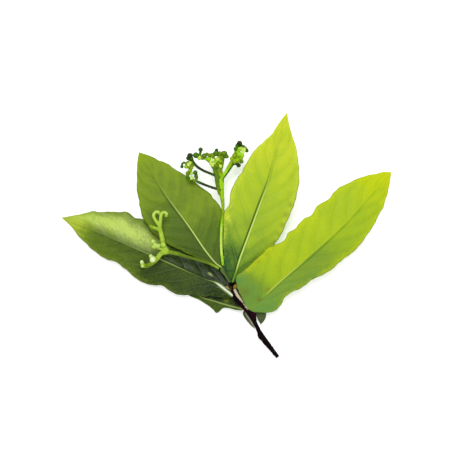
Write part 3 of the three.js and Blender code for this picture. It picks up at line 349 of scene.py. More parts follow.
LEFT_BRANCHES = [
    ([(-3.9, -14.5, 10), (-6.6, -12.9, 10.7), (-11.3, -11.2, 11.4), (-17.5, -9.4, 11.6),
      (-23.3, -7.7, 11.4), (-27.4, -6.9, 11.6)], (0.6, 0.65, 0.8, 1), (0.6, 0.25, 0.15, 0.25, 0.5)),
    ([(-26.6, -7.2, 11.6), (-28.3, -4.5, 12.2), (-29, -1, 12.8), (-29.8, 2.6, 13.2),
      (-30.1, 4.6, 13.4)], (1.25, 1.1, 0.95), (0.62, 0.64, 0.66)),
    ([(-30.1, 4.2, 13.4), (-31.6, 6.6, 13.6), (-32.7, 8.6, 13.6), (-32.2, 10.3, 13.6),
      (-30.9, 10.7, 13.6), (-30, 9.9, 13.6)], (0.8, 0.7), (0.64, 0.72, 0.8)),
    ([(-29.9, 4.2, 13.4), (-29.6, 7.5, 14), (-29.2, 9.7, 14.4), (-28.3, 10.5, 14.4), (-27, 10, 14.1),
      (-27.2, 8.9, 13.9)], (0.85, 0.7), (0.64, 0.72, 0.8)),
    ([(-29.9, 2.4, 13.2), (-31.8, 3.4, 13.6), (-33.8, 4.2, 13.6)], (0.8, 0.75), (0.64, 0.64)),
    ([(-28.1, -6.3, 11.8), (-30.3, -5.4, 12.8), (-31.8, -4.3, 13.4), (-32.8, -2.7, 13.6)], (0.85, 0.8),
      (0.6, 0.85)),
    ([(-26.6, -7.1, 11.6), (-29.4, -7.8, 11.8), (-31, -9.8, 11.8), (-32.8, -11.6, 11.6),
      (-35.7, -13.3, 11.2), (-37.4, -13.2, 11), (-38, -11.6, 11)], (1.1, 1.1, 0.85),
      (0.62, 0.62, 0.5, 0.3, 0.85)),
]
LEFT_BUDS = [
    (-30.1, 9.9, 13.6, 0.9, 0.6), (-27.2, 8.9, 13.9, 0.9, 0.6), (-33.8, 4.2, 13.8, 0.9, 0.55),
    (-32.8, -2.5, 13.9, 1.1, 0.8), (-32.5, -4.8, 13.6, 1.1, 0.75), (-30.6, -4.4, 13.6, 1.1, 0.8),
    (-28.5, -4, 13.4, 1.4, 0.72), (-33.1, -10.5, 12.5, 1.6, 0.95), (-33.9, -9, 12.9, 1, 0.8),
    (-35.7, -13.4, 11.6, 1, 0.3), (-38, -11.6, 11.3, 0.9, 0.9), (-37.7, -13.3, 11.2, 0.9, 0.8),
]
SPRAYS = {"spray_upper": (UPPER_BRANCHES, UPPER_BUDS), "spray_left": (LEFT_BRANCHES, LEFT_BUDS)}


def linear(code):
    """Linear red, green and blue of a six-digit colour code"""
    shares = [int(code[i:i + 2], 16) / 255 for i in (0, 2, 4)]
    return tuple(s / 12.92 if s <= 0.04045 else ((s + 0.055) / 1.055) ** 2.4 for s in shares)


def colour(name, code, words):
    """A colour that the user can change"""
    return FloatVectorProperty(
        name=name, description=words, subtype="COLOR", size=3, min=0, max=1, default=linear(code))


def length(name, millimetres, words, low=0.0, high=50.0):
    """A length that the user can change, kept in metres and given here in millimetres"""
    return FloatProperty(
        name=name, description=words, subtype="DISTANCE", unit="LENGTH", precision=5,
        default=millimetres * MM, min=low * MM, max=high * MM)


def number(name, default, words, high=1000):
    """A plain number from 0 up that the user can change"""
    return FloatProperty(name=name, description=words, default=default, min=0, max=high)


def count(name, default, words, low, high):
    """A whole number that the user can change"""
    return IntProperty(name=name, description=words, default=default, min=low, max=high)


LEAF_SHADES = {
    # The darkest shades of the ramp, used near the twig, are partly painted shade
    "base": "First part of the blade",
    "low": "The blade a quarter of the way to its ripest colour",
    "face": "The blade half way to its ripest colour",
    "high": "The blade three quarters of the way to its ripest colour",
    "tip": "Ripest part of the blade",
    "edge": "Margin",
    "vein": "Midrib",
    "side_vein": "Side veins",
    "under": "Paler lower face",
    # Pale tissue, and a painted sheen on the left leaf
    "bloom": "Waxy bloom",
    # A painted shadow beside the midrib
    "seam": "Dark line beside the midrib",
    # Dark patches and painted shadows
    "mark": "Dark marks",
}
# Each finish has its colours in the order of the shades above. The seam colours are painted shadow,
# the dark patch colours paint dark patches and painted shadows, and the pale band colours pale tissue
# and a painted sheen. The dark leaf's near-white midrib colour is a pale midrib and stalk with a
# painted highlight, and the dry scale's dark margin colour is painted shade along the bract's edges.
LEAF_FINISHES = {
    "dark_leaf": (
        "122b04", "395104", "5c7515", "708c15", "b2c731", "7f9615", "f0f6e3", "91a451",
        "7c9162", "bbd558", "152c04", "293919"),
    "olive_leaf": (
        "3e551c", "4c641e", "5d7822", "819c23", "8ea810", "8ba720", "e2f595", "7c9834",
        "91a66d", "91ac39", "395304", "45531c"),
    "bright_leaf": (
        "235326", "70962f", "9fbd2f", "b5cd26", "cfdb2b", "dfec41", "d7ec82", "91b52f",
        "a6c077", "bbd345", "103c04", "233c26"),
    "yellow_leaf": (
        "699c45", "84a42f", "9dbd26", "b1cb20", "c9d804", "d1db04", "c5d551", "91b023",
        "a6c077", "bbd345", "5c8704", "74691c"),
    "dull_leaf": (
        "818b5c", "768155", "6b784c", "586539", "344119", "b0bb87", "91a072", "5c6e41",
        "7c8d69", "728358", "2c3c10", "041c04"),
    "dry_scale": (
        "293404", "41481c", "5c613c", "787c58", "989c76", "293104", "b0b28d", "676b48",
        "919474", "e5e7cd", "393e10", "2c3110"),
}


def leaf_colours(finish, codes):
    """A group of leaf colours that the user can change, with the defaults of one finish"""
    shades = {
        key: colour(key.replace("_", " ").capitalize(), code, words)
        for (key, words), code in zip(LEAF_SHADES.items(), codes)}
    return type(finish.title().replace("_", "") + "Colours", (bpy.types.PropertyGroup,), {
        "__doc__": f"Colours of the {finish.replace('_', ' ')}", "__annotations__": shades})


LEAF_COLOUR_GROUPS = {finish: leaf_colours(finish, codes) for finish, codes in LEAF_FINISHES.items()}


class BladeSettings(bpy.types.PropertyGroup):
    """Sizes that all blades share"""

    half_thickness: length("Half thickness", 0.17, "Half the thickness of a blade between its veins")
    rib_rise: length("Rib rise", 0.24, "How far the midrib stands out of the upper face")
    rib_depth: length("Rib depth", 0.8, "How far the midrib stands out of the lower face")
    rib_width: length("Rib width", 0.5, "Half the width of the midrib at the blade's start")
    vein_depth: length("Vein depth", 0.16, "How deep a side vein lies in the upper face")
    puff: length("Puff", 0.14, "How far the blade swells between two side veins")
    crinkle: length("Crinkle", 0.22, "Small waves of the margin, in and out")
    vein_pairs: number("Vein pairs", 9, "Side veins on either side of the midrib", 20)
    vein_lean: number("Vein lean", 0.13, "How far a side vein leans, as a share of the blade", 0.5)
    vein_bow: number("Vein bow", 0.09, "How far it bends on towards the tip", 0.5)
    vein_start: number("First vein", 0.1, "Share of the midrib where the first side veins leave it", 0.5)
    rows: count("Rows", 176, "Steps along a large blade", 24, 400)
    columns: count("Columns", 28, "Steps from midrib to margin of a large blade", 8, 80)
    small_rows: count("Small rows", 90, "Steps along a small blade", 24, 400)
    small_columns: count("Small columns", 14, "Steps from midrib to margin of a small blade", 8, 80)


class TwigSettings(bpy.types.PropertyGroup):
    """Sizes and colours of the woody twig, its bud scales and the green shoot on it"""

    furrow: length("Furrow", 0.09, "Depth of the furrows along the bark")
    wrinkle: length("Wrinkle", 0.05, "Height of the fine cross wrinkles")
    pore: length("Pore", 0.13, "How far a pore stands out of the bark")
    pores: count("Pores", 46, "Corky pores on the twig", 0, 200)
    scale_length: length("Scale length", 4.2, "Length of a bud scale")
    scale_width: length("Scale width", 1.2, "Half the width of a bud scale")
    bark: colour("Bark", "040404", "Bark")
    crack: colour("Crack", "040404", "Bottom of the furrows")
    red: colour("Red bark", "4e0404", "Younger reddish bark")
    knot: colour("Knot", "2c041b", "Dark purple knot")
    # A pale strip along the upper side of the twig
    worn: colour("Worn bark", "ccbea0", "Strip where the bark has worn pale")
    wood: colour("Cut wood", "5c411c", "Cut end")
    scale_dark: colour("Dark scale", "0d0404", "Darkest bud scale")
    scale_green: colour("Ochre scale", "897611", "Yellowish bud scale")
    scale_pale: colour("Pale scale", "bca874", "Palest bud scale")
    shoot: colour("Shoot", "5f7833", "Green shoot")
    shoot_shade: colour("Shoot shade", "344a20", "Darker streaks of the green shoot")


class SpraySettings(bpy.types.PropertyGroup):
    """Sizes and colours of the two flower sprays"""

    voxel: length("Voxel", 0.16, "Grid on which the branches are fused", low=0.12, high=1)
    seam: number("Bud seam", 0.08, "Depth of the seams of a bud, as a share of its radius", 0.4)
    dark: colour("Dark", "242c04", "Darkest buds and stalks, tint 0")
    green: colour("Green", "336c04", "Green buds and stalks, tint one quarter")
    olive: colour("Olive", "7f9304", "Olive buds and stalks, tint one half")
    light: colour("Light", "9bd404", "Bright green, tint three quarters")
    # Tint 1 is largely painted highlight on the buds and curls
    pale: colour("Pale", "ddee74", "Palest buds, tint 1")
    left_dark: colour("Left spray, dark", "4a6404", "Left spray, tint 0")
    left_green: colour("Left spray, green", "5d7904", "Left spray, tint one quarter")
    left_olive: colour("Left spray, olive", "85a611", "Left spray, tint one half")
    left_light: colour("Left spray, light", "b2d24a", "Left spray, tint three quarters")
    # Tint 1 is largely painted highlight on the buds and curls
    left_pale: colour("Left spray, pale", "edf7c6", "Left spray, tint 1")


class StageSettings(bpy.types.PropertyGroup):
    """Floor, light and camera"""

    floor: colour("Floor", "fafafa", "Plain pale floor")
    floor_size: length("Floor size", 3000, "Side of the floor", high=20000)
    camera_height: length("Camera height", 843.75, "How high the camera stands", high=5000)
    camera_x: length("Camera X", -1.1, "Camera's place along X", low=-500, high=500)
    camera_y: length("Camera Y", 4.8, "Camera's place along Y", low=-500, high=500)
    focal: number("Focal length", 150, "Of the camera's lens, in millimetres", 400)
    world: number("World", 0.38, "Strength of the light from all round")
    key: number("Key light", 7.0, "Power of the soft box behind the sprig")
    fill: number("Fill light", 3.1, "Power of the soft box in front of the sprig")
    glow: number("Floor glow", 0.4, "Light that the floor gives of itself")


class SprigSettings(bpy.types.PropertyGroup):
    """Everything about the sprig that a user would change"""

    blade: PointerProperty(type=BladeSettings)
    twig: PointerProperty(type=TwigSettings)
    spray: PointerProperty(type=SpraySettings)
    stage: PointerProperty(type=StageSettings)


for finish, group in LEAF_COLOUR_GROUPS.items():
    SprigSettings.__annotations__[finish] = PointerProperty(type=group)


class SmoothLine:
    """A centripetal Catmull-Rom line through points in millimetres, asked by shares of its length"""

    SAMPLES = 200
    STEP = 1e-4

    def __init__(self, points):
        inner = np.array(points, float) * MM
        before = 2 * inner[0] - inner[1]
        after = 2 * inner[-1] - inner[-2]
        self.knots = np.vstack([before, inner, after])
        self.parts = len(inner) - 1
        self.times = np.linspace(0, 1, self.SAMPLES + 1)
        gaps = np.linalg.norm(np.diff(self.at_time(self.times), axis=0), axis=1)
        self.lengths = np.concatenate([[0], np.cumsum(gaps)])

    @property
    def length(self):
        return self.lengths[-1]

    def at_time(self, time):
        place = np.clip(time, 0, 1) * self.parts
        i = np.minimum(place.astype(int), self.parts - 1)
        w = (place - i)[:, None]
        x0, x1, x2, x3 = (self.knots[i + k] for k in range(4))
        d0, d1, d2 = (
            np.sum((b - a) ** 2, axis=1)[:, None] ** 0.25 for a, b in ((x0, x1), (x1, x2), (x2, x3)))
        s1 = ((x1 - x0) / d0 - (x2 - x0) / (d0 + d1) + (x2 - x1) / d1) * d1
        s2 = ((x2 - x1) / d1 - (x3 - x1) / (d1 + d2) + (x3 - x2) / d2) * d1
        return x1 + w * (s1 + w * (3 * (x2 - x1) - 2 * s1 - s2 + w * (2 * (x1 - x2) + s1 + s2)))

    def time_of(self, share):
        return np.interp(np.asarray(share) * self.length, self.lengths, self.times)

    def point(self, share):
        return self.at_time(self.time_of(share))

    def tangent(self, share):
        time = self.time_of(share)
        ahead = self.at_time(np.minimum(time + self.STEP, 1))
        step = ahead - self.at_time(np.maximum(time - self.STEP, 0))
        return step / np.linalg.norm(step, axis=1)[:, None]


def value_at(stations, t):
    """Smooth value at shares t between stations of (share, value)"""
    places, values = np.array(stations, float).T
    slopes = np.diff(values) / np.diff(places)
    ends = np.concatenate([[slopes[0]], (slopes[1:] + slopes[:-1]) / 2, [slopes[-1]]])
    i = np.clip(np.searchsorted(places, t, side="left") - 1, 0, len(slopes) - 1)
    span = np.diff(places)[i]
    u = (np.clip(t, places[i], places[i + 1]) - places[i]) / span
    start = ends[i] * span
    end = ends[i + 1] * span
    gap = values[i + 1] - values[i]
    return values[i] + u * (start + u * (3 * gap - 2 * start - end + u * (start + end - 2 * gap)))


def ease(value, low, high):
    """0 below low, 1 above high and smooth between them"""
    u = np.clip((value - low) / (high - low), 0, 1)
    return u * u * (3 - 2 * u)


def wander(t, seed, turns):
    """A smooth line of random bends between about -1 and 1"""
    draw = random.Random(seed)
    bends = [
        (turns * (0.5 + k * 0.35), draw.uniform(0, 2 * math.pi), 1 / (1 + 0.5 * k)) for k in range(5)]
    total = sum(size for _, _, size in bends)
    return sum(size * np.sin(2 * math.pi * rate * t + phase) for rate, phase, size in bends) / total * 1.6


def deselect():
    bpy.ops.object.select_all(action="DESELECT")


def select(*pieces):
    deselect()
    for piece in pieces:
        piece.select_set(True)
    bpy.context.view_layer.objects.active = pieces[0]


def apply_modifier(piece, kind, **settings):
    """Adds a modifier to a piece and applies it"""
    select(piece)
    modifier = piece.modifiers.new(kind.title(), kind)
    for key, value in settings.items():
        setattr(modifier, key, value)
    bpy.ops.object.modifier_apply(modifier=modifier.name)


def settle(piece, name):
    """Names a finished piece and puts its place into its mesh"""
    select(piece)
    bpy.ops.object.transform_apply(location=True, rotation=True, scale=True)
    bpy.ops.object.shade_smooth()
    piece.name = name
    piece.data.name = name
    return piece


def joined(pieces):
    """The pieces as one object"""
    if len(pieces) > 1:
        select(*pieces)
        bpy.ops.object.join()
    return pieces[0]


def add_attribute(piece, name, values):
    """A number for each point of a piece, read by its material"""
    layer = piece.data.attributes.new(name, "FLOAT", "POINT")
    layer.data.foreach_set("value", np.asarray(values, np.float32))


def coordinates(piece):
    points = np.empty(len(piece.data.vertices) * 3)
    piece.data.vertices.foreach_get("co", points)
    return points.reshape(-1, 3)


# How near to an end of its grid a point belongs to the end, and how near points are merged
GRID_END = 1e-6
MERGE_DISTANCE = 1e-7


def rolled(ring, rows, form):
    """A flat grid rolled into a closed skin. form gives, for shares along and round it, the points,
    the UV shares across and along, and a dict of attributes. Either end is drawn into a point."""
    deselect()
    bpy.ops.mesh.primitive_grid_add(x_subdivisions=ring, y_subdivisions=rows, size=1)
    piece = bpy.context.object
    flat = coordinates(piece)
    along = flat[:, 1] + 0.5
    points, across, lengthwise, attributes = form(along, flat[:, 0] + 0.5)
    for end in (along < GRID_END, along > 1 - GRID_END):
        points[end] = points[end].mean(axis=0)
    piece.data.vertices.foreach_set("co", points.ravel())
    corners = np.empty(len(piece.data.loops), int)
    piece.data.loops.foreach_get("vertex_index", corners)
    shares = np.stack([across[corners], lengthwise[corners]], axis=1)
    piece.data.uv_layers[0].data.foreach_set("uv", shares.ravel())
    for name, values in attributes.items():
        add_attribute(piece, name, values)
    bpy.ops.object.mode_set(mode="EDIT")
    bpy.ops.mesh.select_all(action="SELECT")
    bpy.ops.mesh.remove_doubles(threshold=MERGE_DISTANCE)
    bpy.ops.mesh.normals_make_consistent(inside=False)
    bpy.ops.object.mode_set(mode="OBJECT")
    return piece


def vein_distance(blade, t, a, left):
    """Distance from the nearest side vein as a share of the gap between two: 0 on it, 0.5 between"""
    phase = (t - blade.vein_start - blade.vein_lean * a - blade.vein_bow * a * a) * blade.vein_pairs
    phase = phase + np.where(left, 0, VEIN_OFFSET)
    return np.abs(phase - np.round(phase)), phase > -0.5


# The value of a side that a table leaves out
NOWHERE = [(0, 0), (1, 0)]
# How the rows of a blade crowd at its ends, the share of the midrib on which the stalk opens, and how
# far the packed stalk and its keel are filled
ROW_CROWDING = 0.55
OPENING = 0.05
STALK_FILL = 0.72
KEEL_AT_STALK = 0.3
# The midrib: its share of the columns, its reach in its own widths and as a share of the blade's, how
# its width and depth taper, how far its keel spreads, the groove beside it, and where it ends
RIB_COLUMNS = 0.25
RIB_REACH = 2.4
RIB_SHARE = 0.4
RIB_TAPER = 0.62
RIB_DEPTH_TAPER = 0.8
KEEL_SPREAD = 1.25
GROOVE_PLACE = 1.9
GROOVE_SPREAD = 0.7
GROOVE_DEPTH = 0.3
RIB_END = 0.12
# The side veins: how the right ones are shifted, how sharp they are, where they set in and fade out,
# where the blade swells between them and how far they stand out below
VEIN_OFFSET = 0.4
VEIN_SHARPNESS = 9
VEIN_START = (0.4, 1.6)
VEIN_FADE = (0.8, 1)
VEIN_END = (0.02, 0.15)
PUFF_BETWEEN = (0.08, 0.5)
VEIN_BELOW = 0.5
# The margin: half widths between which its crinkle sets in, bends along it, how round the stalk and how
# square the blade's edge is, and half the width at the tip
CRINKLE_BETWEEN = (2 * MM, 6 * MM)
CRINKLE_TURNS = 13
RIPPLE_TURNS = 9
ROUND_STALK = 2
SQUARE_EDGE = 16
TIP_WIDTH = 0.22 * MM
# Heights that keep a blade off the surface and inside its packed solid
SURFACE_LIFT = 0.3 * MM
SINK = 0.1 * MM
LOWEST = 0.01 * MM
# The painted lines and patches: how wide the pale band with its painted sheen is, and where the
# painted shadow beside the midrib lies and how wide it is
PALE_AND_SHEEN_SPREAD = 0.3
GROOVE_SHADOW_PLACE = 1.5
GROOVE_SHADOW_SPREAD = 0.5


def spots_at(points, spots):
    """How far round spots, given as X, Y, size and strength, cover each point"""
    cover = np.zeros(len(points))
    for x, y, size, strength in spots:
        away = np.hypot(points[:, 0] - x * MM, points[:, 1] - y * MM) / (size * MM)
        cover = np.maximum(cover, strength * np.exp(-away ** 2))
    return cover


def blade_form(leaf, blade, seed):
    """The form of a leaf: a stalk that flattens into a blade with a midrib, side veins and waves"""
    line = SmoothLine(leaf["line"])
    start = leaf["start"]

    def side_values(t, left, key):
        sides = (value_at(leaf[side].get(key, NOWHERE), t) for side in ("left", "right"))
        return np.where(left, *sides)

    def side_number(left, key):
        return np.where(left, leaf["left"][key], leaf["right"][key])

    def form(along, around):
        t = along - ROW_CROWDING * np.sin(2 * math.pi * along) / (2 * math.pi)
        top = around <= 0.5
        q = np.where(top, 1 - 4 * around, 4 * around - 3)
        left = q > 0
        opened = ease(t, start, start + OPENING)
        width = np.maximum(side_values(t, left, "width") * MM, TIP_WIDTH)
        crinkle = np.where(
            left, wander(t, seed, CRINKLE_TURNS), wander(t, seed + 1, CRINKLE_TURNS))
        width = width + blade.crinkle * crinkle * ease(width, *CRINKLE_BETWEEN)
        rib = np.minimum(RIB_REACH * blade.rib_width * (1 - RIB_TAPER * t), RIB_SHARE * width)
        share = np.abs(q)
        outer = np.clip((share - RIB_COLUMNS) / (1 - RIB_COLUMNS), 0, 1)
        distance = np.where(
            share < RIB_COLUMNS, rib * share / RIB_COLUMNS, rib + (width - rib) * outer)
        a = distance / width
        centre = line.point(t)
        tangent = line.tangent(t)
        sideways = np.stack([-tangent[:, 1], tangent[:, 0]], axis=1)
        sideways /= np.linalg.norm(sideways, axis=1)[:, None]
        signed = np.where(left, distance, -distance)
        wave = side_number(left, "ripple") * MM * a * a * np.sin(math.pi * t) * np.sin(
            2 * math.pi * (side_number(left, "waves") * t + side_number(left, "phase")))
        height = centre[:, 2] + wave
        height += distance * (side_values(t, left, "rise") + side_number(left, "curl") * a)
        height = np.maximum(height, SURFACE_LIFT)
        gap, reached = vein_distance(blade, t, a, left)
        beyond_rib = ease(distance, VEIN_START[0] * rib, VEIN_START[1] * rib)
        field = opened * beyond_rib * (1 - ease(a, *VEIN_FADE)) * reached * ease(1 - t, *VEIN_END)
        vein = np.exp(-(VEIN_SHARPNESS * gap) ** 2)
        relief = blade.puff * ease(gap, *PUFF_BETWEEN) - blade.vein_depth * vein
        ripple = np.where(
            left, wander(t, seed + 2, RIPPLE_TURNS), wander(t, seed + 3, RIPPLE_TURNS)) * a * a
        height += field * relief + opened * blade.crinkle * ripple
        closing = np.sqrt(np.maximum(1 - a ** (ROUND_STALK + SQUARE_EDGE * opened), 0))
        stalk = leaf["stalk"] * MM * STALK_FILL
        body = stalk + (blade.half_thickness - stalk) * opened
        ridge = distance / (blade.rib_width * (1 - RIB_TAPER * t))
        slim = np.exp(-ridge ** 2)
        thick = np.exp(-(ridge / KEEL_SPREAD) ** 2)
        beside_rib = (distance - GROOVE_PLACE * blade.rib_width) / (GROOVE_SPREAD * blade.rib_width)
        groove = np.exp(-beside_rib ** 2)
        fade = opened * ease(1 - t, 0, RIB_END)
        crest = blade.rib_rise * ((1 - RIB_TAPER * t) * slim - GROOVE_DEPTH * groove)
        above = body + fade * crest
        keel = KEEL_AT_STALK + (1 - KEEL_AT_STALK) * opened
        below = body + blade.rib_depth * (1 - RIB_DEPTH_TAPER * t) * thick * keel
        vein_ridge = VEIN_BELOW * blade.vein_depth * vein * field
        offset = np.where(top, above, -below - vein_ridge) * closing
        z = np.maximum(height + offset - SINK * opened, LOWEST)
        points = np.column_stack([centre[:, :2] + sideways * signed[:, None], z])
        across = 0.5 + 0.5 * np.where(left, a, -a)
        beside = (distance - GROOVE_SHADOW_PLACE * blade.rib_width) / (GROOVE_SHADOW_SPREAD * blade.rib_width)
        rib_line = np.exp(-(ridge / value_at(leaf["rib_line"], t)) ** 2) * value_at(leaf["rib_tone"], t)
        off_centre = (a - side_values(t, left, "pale_and_sheen_place")) / PALE_AND_SHEEN_SPREAD
        attributes = {
            "under": np.where(top | (a > 0.999), 0.0, 1.0),
            # The midrib's pale line, with painted glints laid over it
            "rib": np.maximum(rib_line, spots_at(points, leaf.get("glints", ()))),
            # How far the colour has run towards the tip's, kept low near the twig partly as painted shade
            "ripe": side_values(t, left, "ripe"),
            # A painted shadow beside the midrib
            "seam": np.exp(-beside ** 2) * side_values(t, left, "seam"),
            # Pale tissue on the bract and a painted sheen on the left leaf
            "bloom": side_values(t, left, "bloom") * np.exp(-off_centre ** 2),
            # Dark patches and painted shadows
            "mark": spots_at(points, leaf.get("marks_and_shadows", ())),
            "gilt": spots_at(points, leaf.get("gilt", ())),
        }
        return points, across, t, attributes

    return form


def dress(piece, node):
    """The piece stands for the packed node of that name, rides on its body and takes its finish"""
    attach(piece, "root")
    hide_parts(node)
    return piece


# The bark: how far it stays above the surface, its furrows and fine furrows (how many round the twig, how
# they drift and twist, how sharp they are), the share of the plain ones in the relief, the cross
# wrinkles' bends along the twig, how much of a knot's own radius stays, and a pore's place and sizes
TWIG_LIFT = 0.005 * MM
FURROWS = (4.5, 3, 9, 0.6)
FINE_FURROWS = (11, -5, 23, 0.7)
FURROW_SHARE = 0.65
WRINKLES = 36
KNOT_BASE = 0.75
PORES_BETWEEN = (0.03, 0.97)
PORE_LENGTH = 0.45
PORE_WIDTH = 0.28
SCALE_THICKNESS = 0.22
# The sprays: steps of a branch, its closed end, steps of its tints, and how buds lean and stretch
BRANCH_STEP = 1.1
BRANCH_END = 0.6
TINT_STEPS = 40
BUD_TILT = 0.6
BUD_STRETCH = (0.98, 1.08)
# A bud of radius 1: the degrees between its seams and half the width of one, where its top starts, and
# how far its point stands out
SEAM_GAP = 120
SEAM_REACH = 5
BUD_TOP = 0.99
BUD_POINT = 0.12


def side_frames(line, share):
    """Centre, tangent, level side direction and upward direction at shares of a line"""
    tangent = line.tangent(share)
    side = np.stack([tangent[:, 1], -tangent[:, 0], np.zeros(len(tangent))], axis=1)
    side /= np.linalg.norm(side, axis=1)[:, None]
    return line.point(share), tangent, side, np.cross(side, tangent)


def tube_form(points, radius_at, cap=0.02, inset=0.0):
    """The form of a stem with flat ends, the first of them drawn in. radius_at gives radius and
    attributes for share and angle."""
    line = SmoothLine(points)

    def form(along, around):
        share = inset + (1 - inset) * np.clip((along - cap) / (1 - 2 * cap), 0, 1)
        closing = np.clip(np.minimum(along, 1 - along) / cap, 0, 1)
        angle = 2 * math.pi * around
        centre, _, side, up = side_frames(line, share)
        radius, attributes = radius_at(share, angle, line.length)
        radius = radius * closing
        ring = side * np.cos(angle)[:, None] + up * np.sin(angle)[:, None]
        spots = centre + ring * radius[:, None]
        spots[:, 2] = np.maximum(spots[:, 2], TWIG_LIFT)
        return spots, around, along, attributes

    return form


def angle_between(a, b):
    return np.abs((a - b + math.pi) % (2 * math.pi) - math.pi)


def patch_at(share, angle, patch):
    """How far a patch of bark covers each point"""
    place, turn, length_spread, angle_spread = patch
    beside = angle_between(angle, turn) / angle_spread
    return np.exp(-((share - place) / length_spread) ** 2 - beside ** 2)


def bark_radius(twig):
    """Radius of the twig with knots, furrows, wrinkles and pores"""
    draw = random.Random(SEED)
    pores = [(draw.uniform(*PORES_BETWEEN), draw.uniform(0, 2 * math.pi)) for _ in range(twig.pores)]

    def radius_at(share, angle, whole):
        base = value_at(TWIG_RADII, share) * MM
        radius = base.copy()
        for place, turn, knot_length, width, out in KNOTS:
            ahead = (share - place) * whole / (knot_length * 0.5 * MM)
            beside = angle_between(angle, turn) * base / (width * MM)
            radius += (KNOT_BASE * base + out * MM - base) * np.exp(-ahead ** 2 - beside ** 2)
        bend = 0.5 * wander(share, SEED + 4, 4)

        def lines(turns, drift, twist, sharpness):
            return np.abs(np.sin(turns * angle + drift * bend + twist * share)) ** sharpness

        furrows = FURROW_SHARE * lines(*FURROWS) + (1 - FURROW_SHARE) * lines(*FINE_FURROWS)
        radius -= twig.furrow * (1 - furrows)
        radius += twig.wrinkle * wander(share + 0.01 * np.sin(angle * 2), SEED + 5, WRINKLES)
        for place, turn in pores:
            ahead = (share - place) * whole / (PORE_LENGTH * MM)
            beside = angle_between(angle, turn) * base / (PORE_WIDTH * MM)
            radius += twig.pore * np.exp(-ahead ** 2 - beside ** 2)
        aside = (angle - value_at(PALE_STRIP_ANGLE, share)) / PALE_STRIP_SPREAD
        return radius, {
            "furrow": 1 - furrows, "worn": value_at(PALE_STRIP_STRENGTH, share) * np.exp(-aside ** 2),
            "red": patch_at(share, angle, RED_PATCH), "knot": patch_at(share, angle, PURPLE_PATCH),
            "place": share,
        }

    return radius_at


def shoot_radius(share, angle, whole):
    """Radius of the green shoot, with faint ridges along it"""
    radius = value_at(SHOOT_RADII, share) * MM
    return radius * (1 + 0.03 * np.sin(5 * angle)), {"tint": 0.5 + 0.4 * np.sin(3 * angle + 2 * share)}


def make_scale(twig):
    """One bud scale at the origin, its length along +Z and its outer face towards +X"""
    deselect()
    bpy.ops.mesh.primitive_grid_add(x_subdivisions=8, y_subdivisions=12, size=1)
    scale = bpy.context.object
    flat = coordinates(scale)
    v = flat[:, 1] + 0.5
    u = 2 * flat[:, 0]
    width = twig.scale_width * (0.55 + 0.9 * v) * np.sqrt(np.maximum(1 - v ** 3, 0.002))
    bulge = twig.scale_width * (0.35 * np.sin(math.pi * np.minimum(v * 0.8, 1)) - 0.45 * u * u)
    points = np.stack([bulge, width * u, twig.scale_length * (v - 0.5)], axis=1)
    scale.data.vertices.foreach_set("co", points.ravel())
    apply_modifier(scale, "SOLIDIFY", thickness=SCALE_THICKNESS * MM, offset=0)
    apply_modifier(scale, "SUBSURF", levels=1, render_levels=1)
    return scale


def turn_rings(before, after, centre):
    """Turns the selected ring from one direction to another. The operator turns the other way."""
    turn = before.rotation_difference(after).to_euler("XYZ")
    for axis, angle in zip("XYZ", turn):
        if abs(angle) > 1e-6:
            bpy.ops.transform.rotate(value=-angle, orient_axis=axis, center_override=centre)


def grown_branch(points, widths, sides=12):
    """A closed round stem, extruded ring by ring along its line, with radii at even steps"""
    line = SmoothLine(points)
    steps = max(4, round(line.length / (BRANCH_STEP * MM)))
    shares = np.linspace(0, 1, steps + 1)
    centres = [Vector(p) for p in line.point(shares)]
    ways = [Vector(w) for w in line.tangent(shares)]
    radii = value_at(list(zip(np.linspace(0, 1, len(widths)), widths)), shares) * MM
    centres.append(centres[-1] + ways[-1] * radii[-1] * 0.5)
    ways.append(ways[-1])
    radii = np.append(radii, radii[-1] * BRANCH_END)
    deselect()
    bpy.ops.mesh.primitive_circle_add(
        vertices=sides, radius=radii[0], fill_type="NGON", location=centres[0],
        rotation=ways[0].to_track_quat("Z", "Y").to_euler())
    branch = bpy.context.object
    bpy.ops.object.mode_set(mode="EDIT")
    bpy.ops.mesh.select_all(action="SELECT")
    for i in range(1, len(centres)):
        step = centres[i] - centres[i - 1]
        bpy.ops.mesh.extrude_region_move(TRANSFORM_OT_translate={"value": step})
        turn_rings(ways[i - 1], ways[i], centres[i])
        growth = radii[i] / radii[i - 1]
        if abs(growth - 1) > 1e-4:
            bpy.ops.transform.resize(value=(growth, growth, growth), center_override=centres[i])
    bpy.ops.mesh.select_all(action="SELECT")
    bpy.ops.mesh.normals_make_consistent(inside=False)
    bpy.ops.object.mode_set(mode="OBJECT")
    return branch


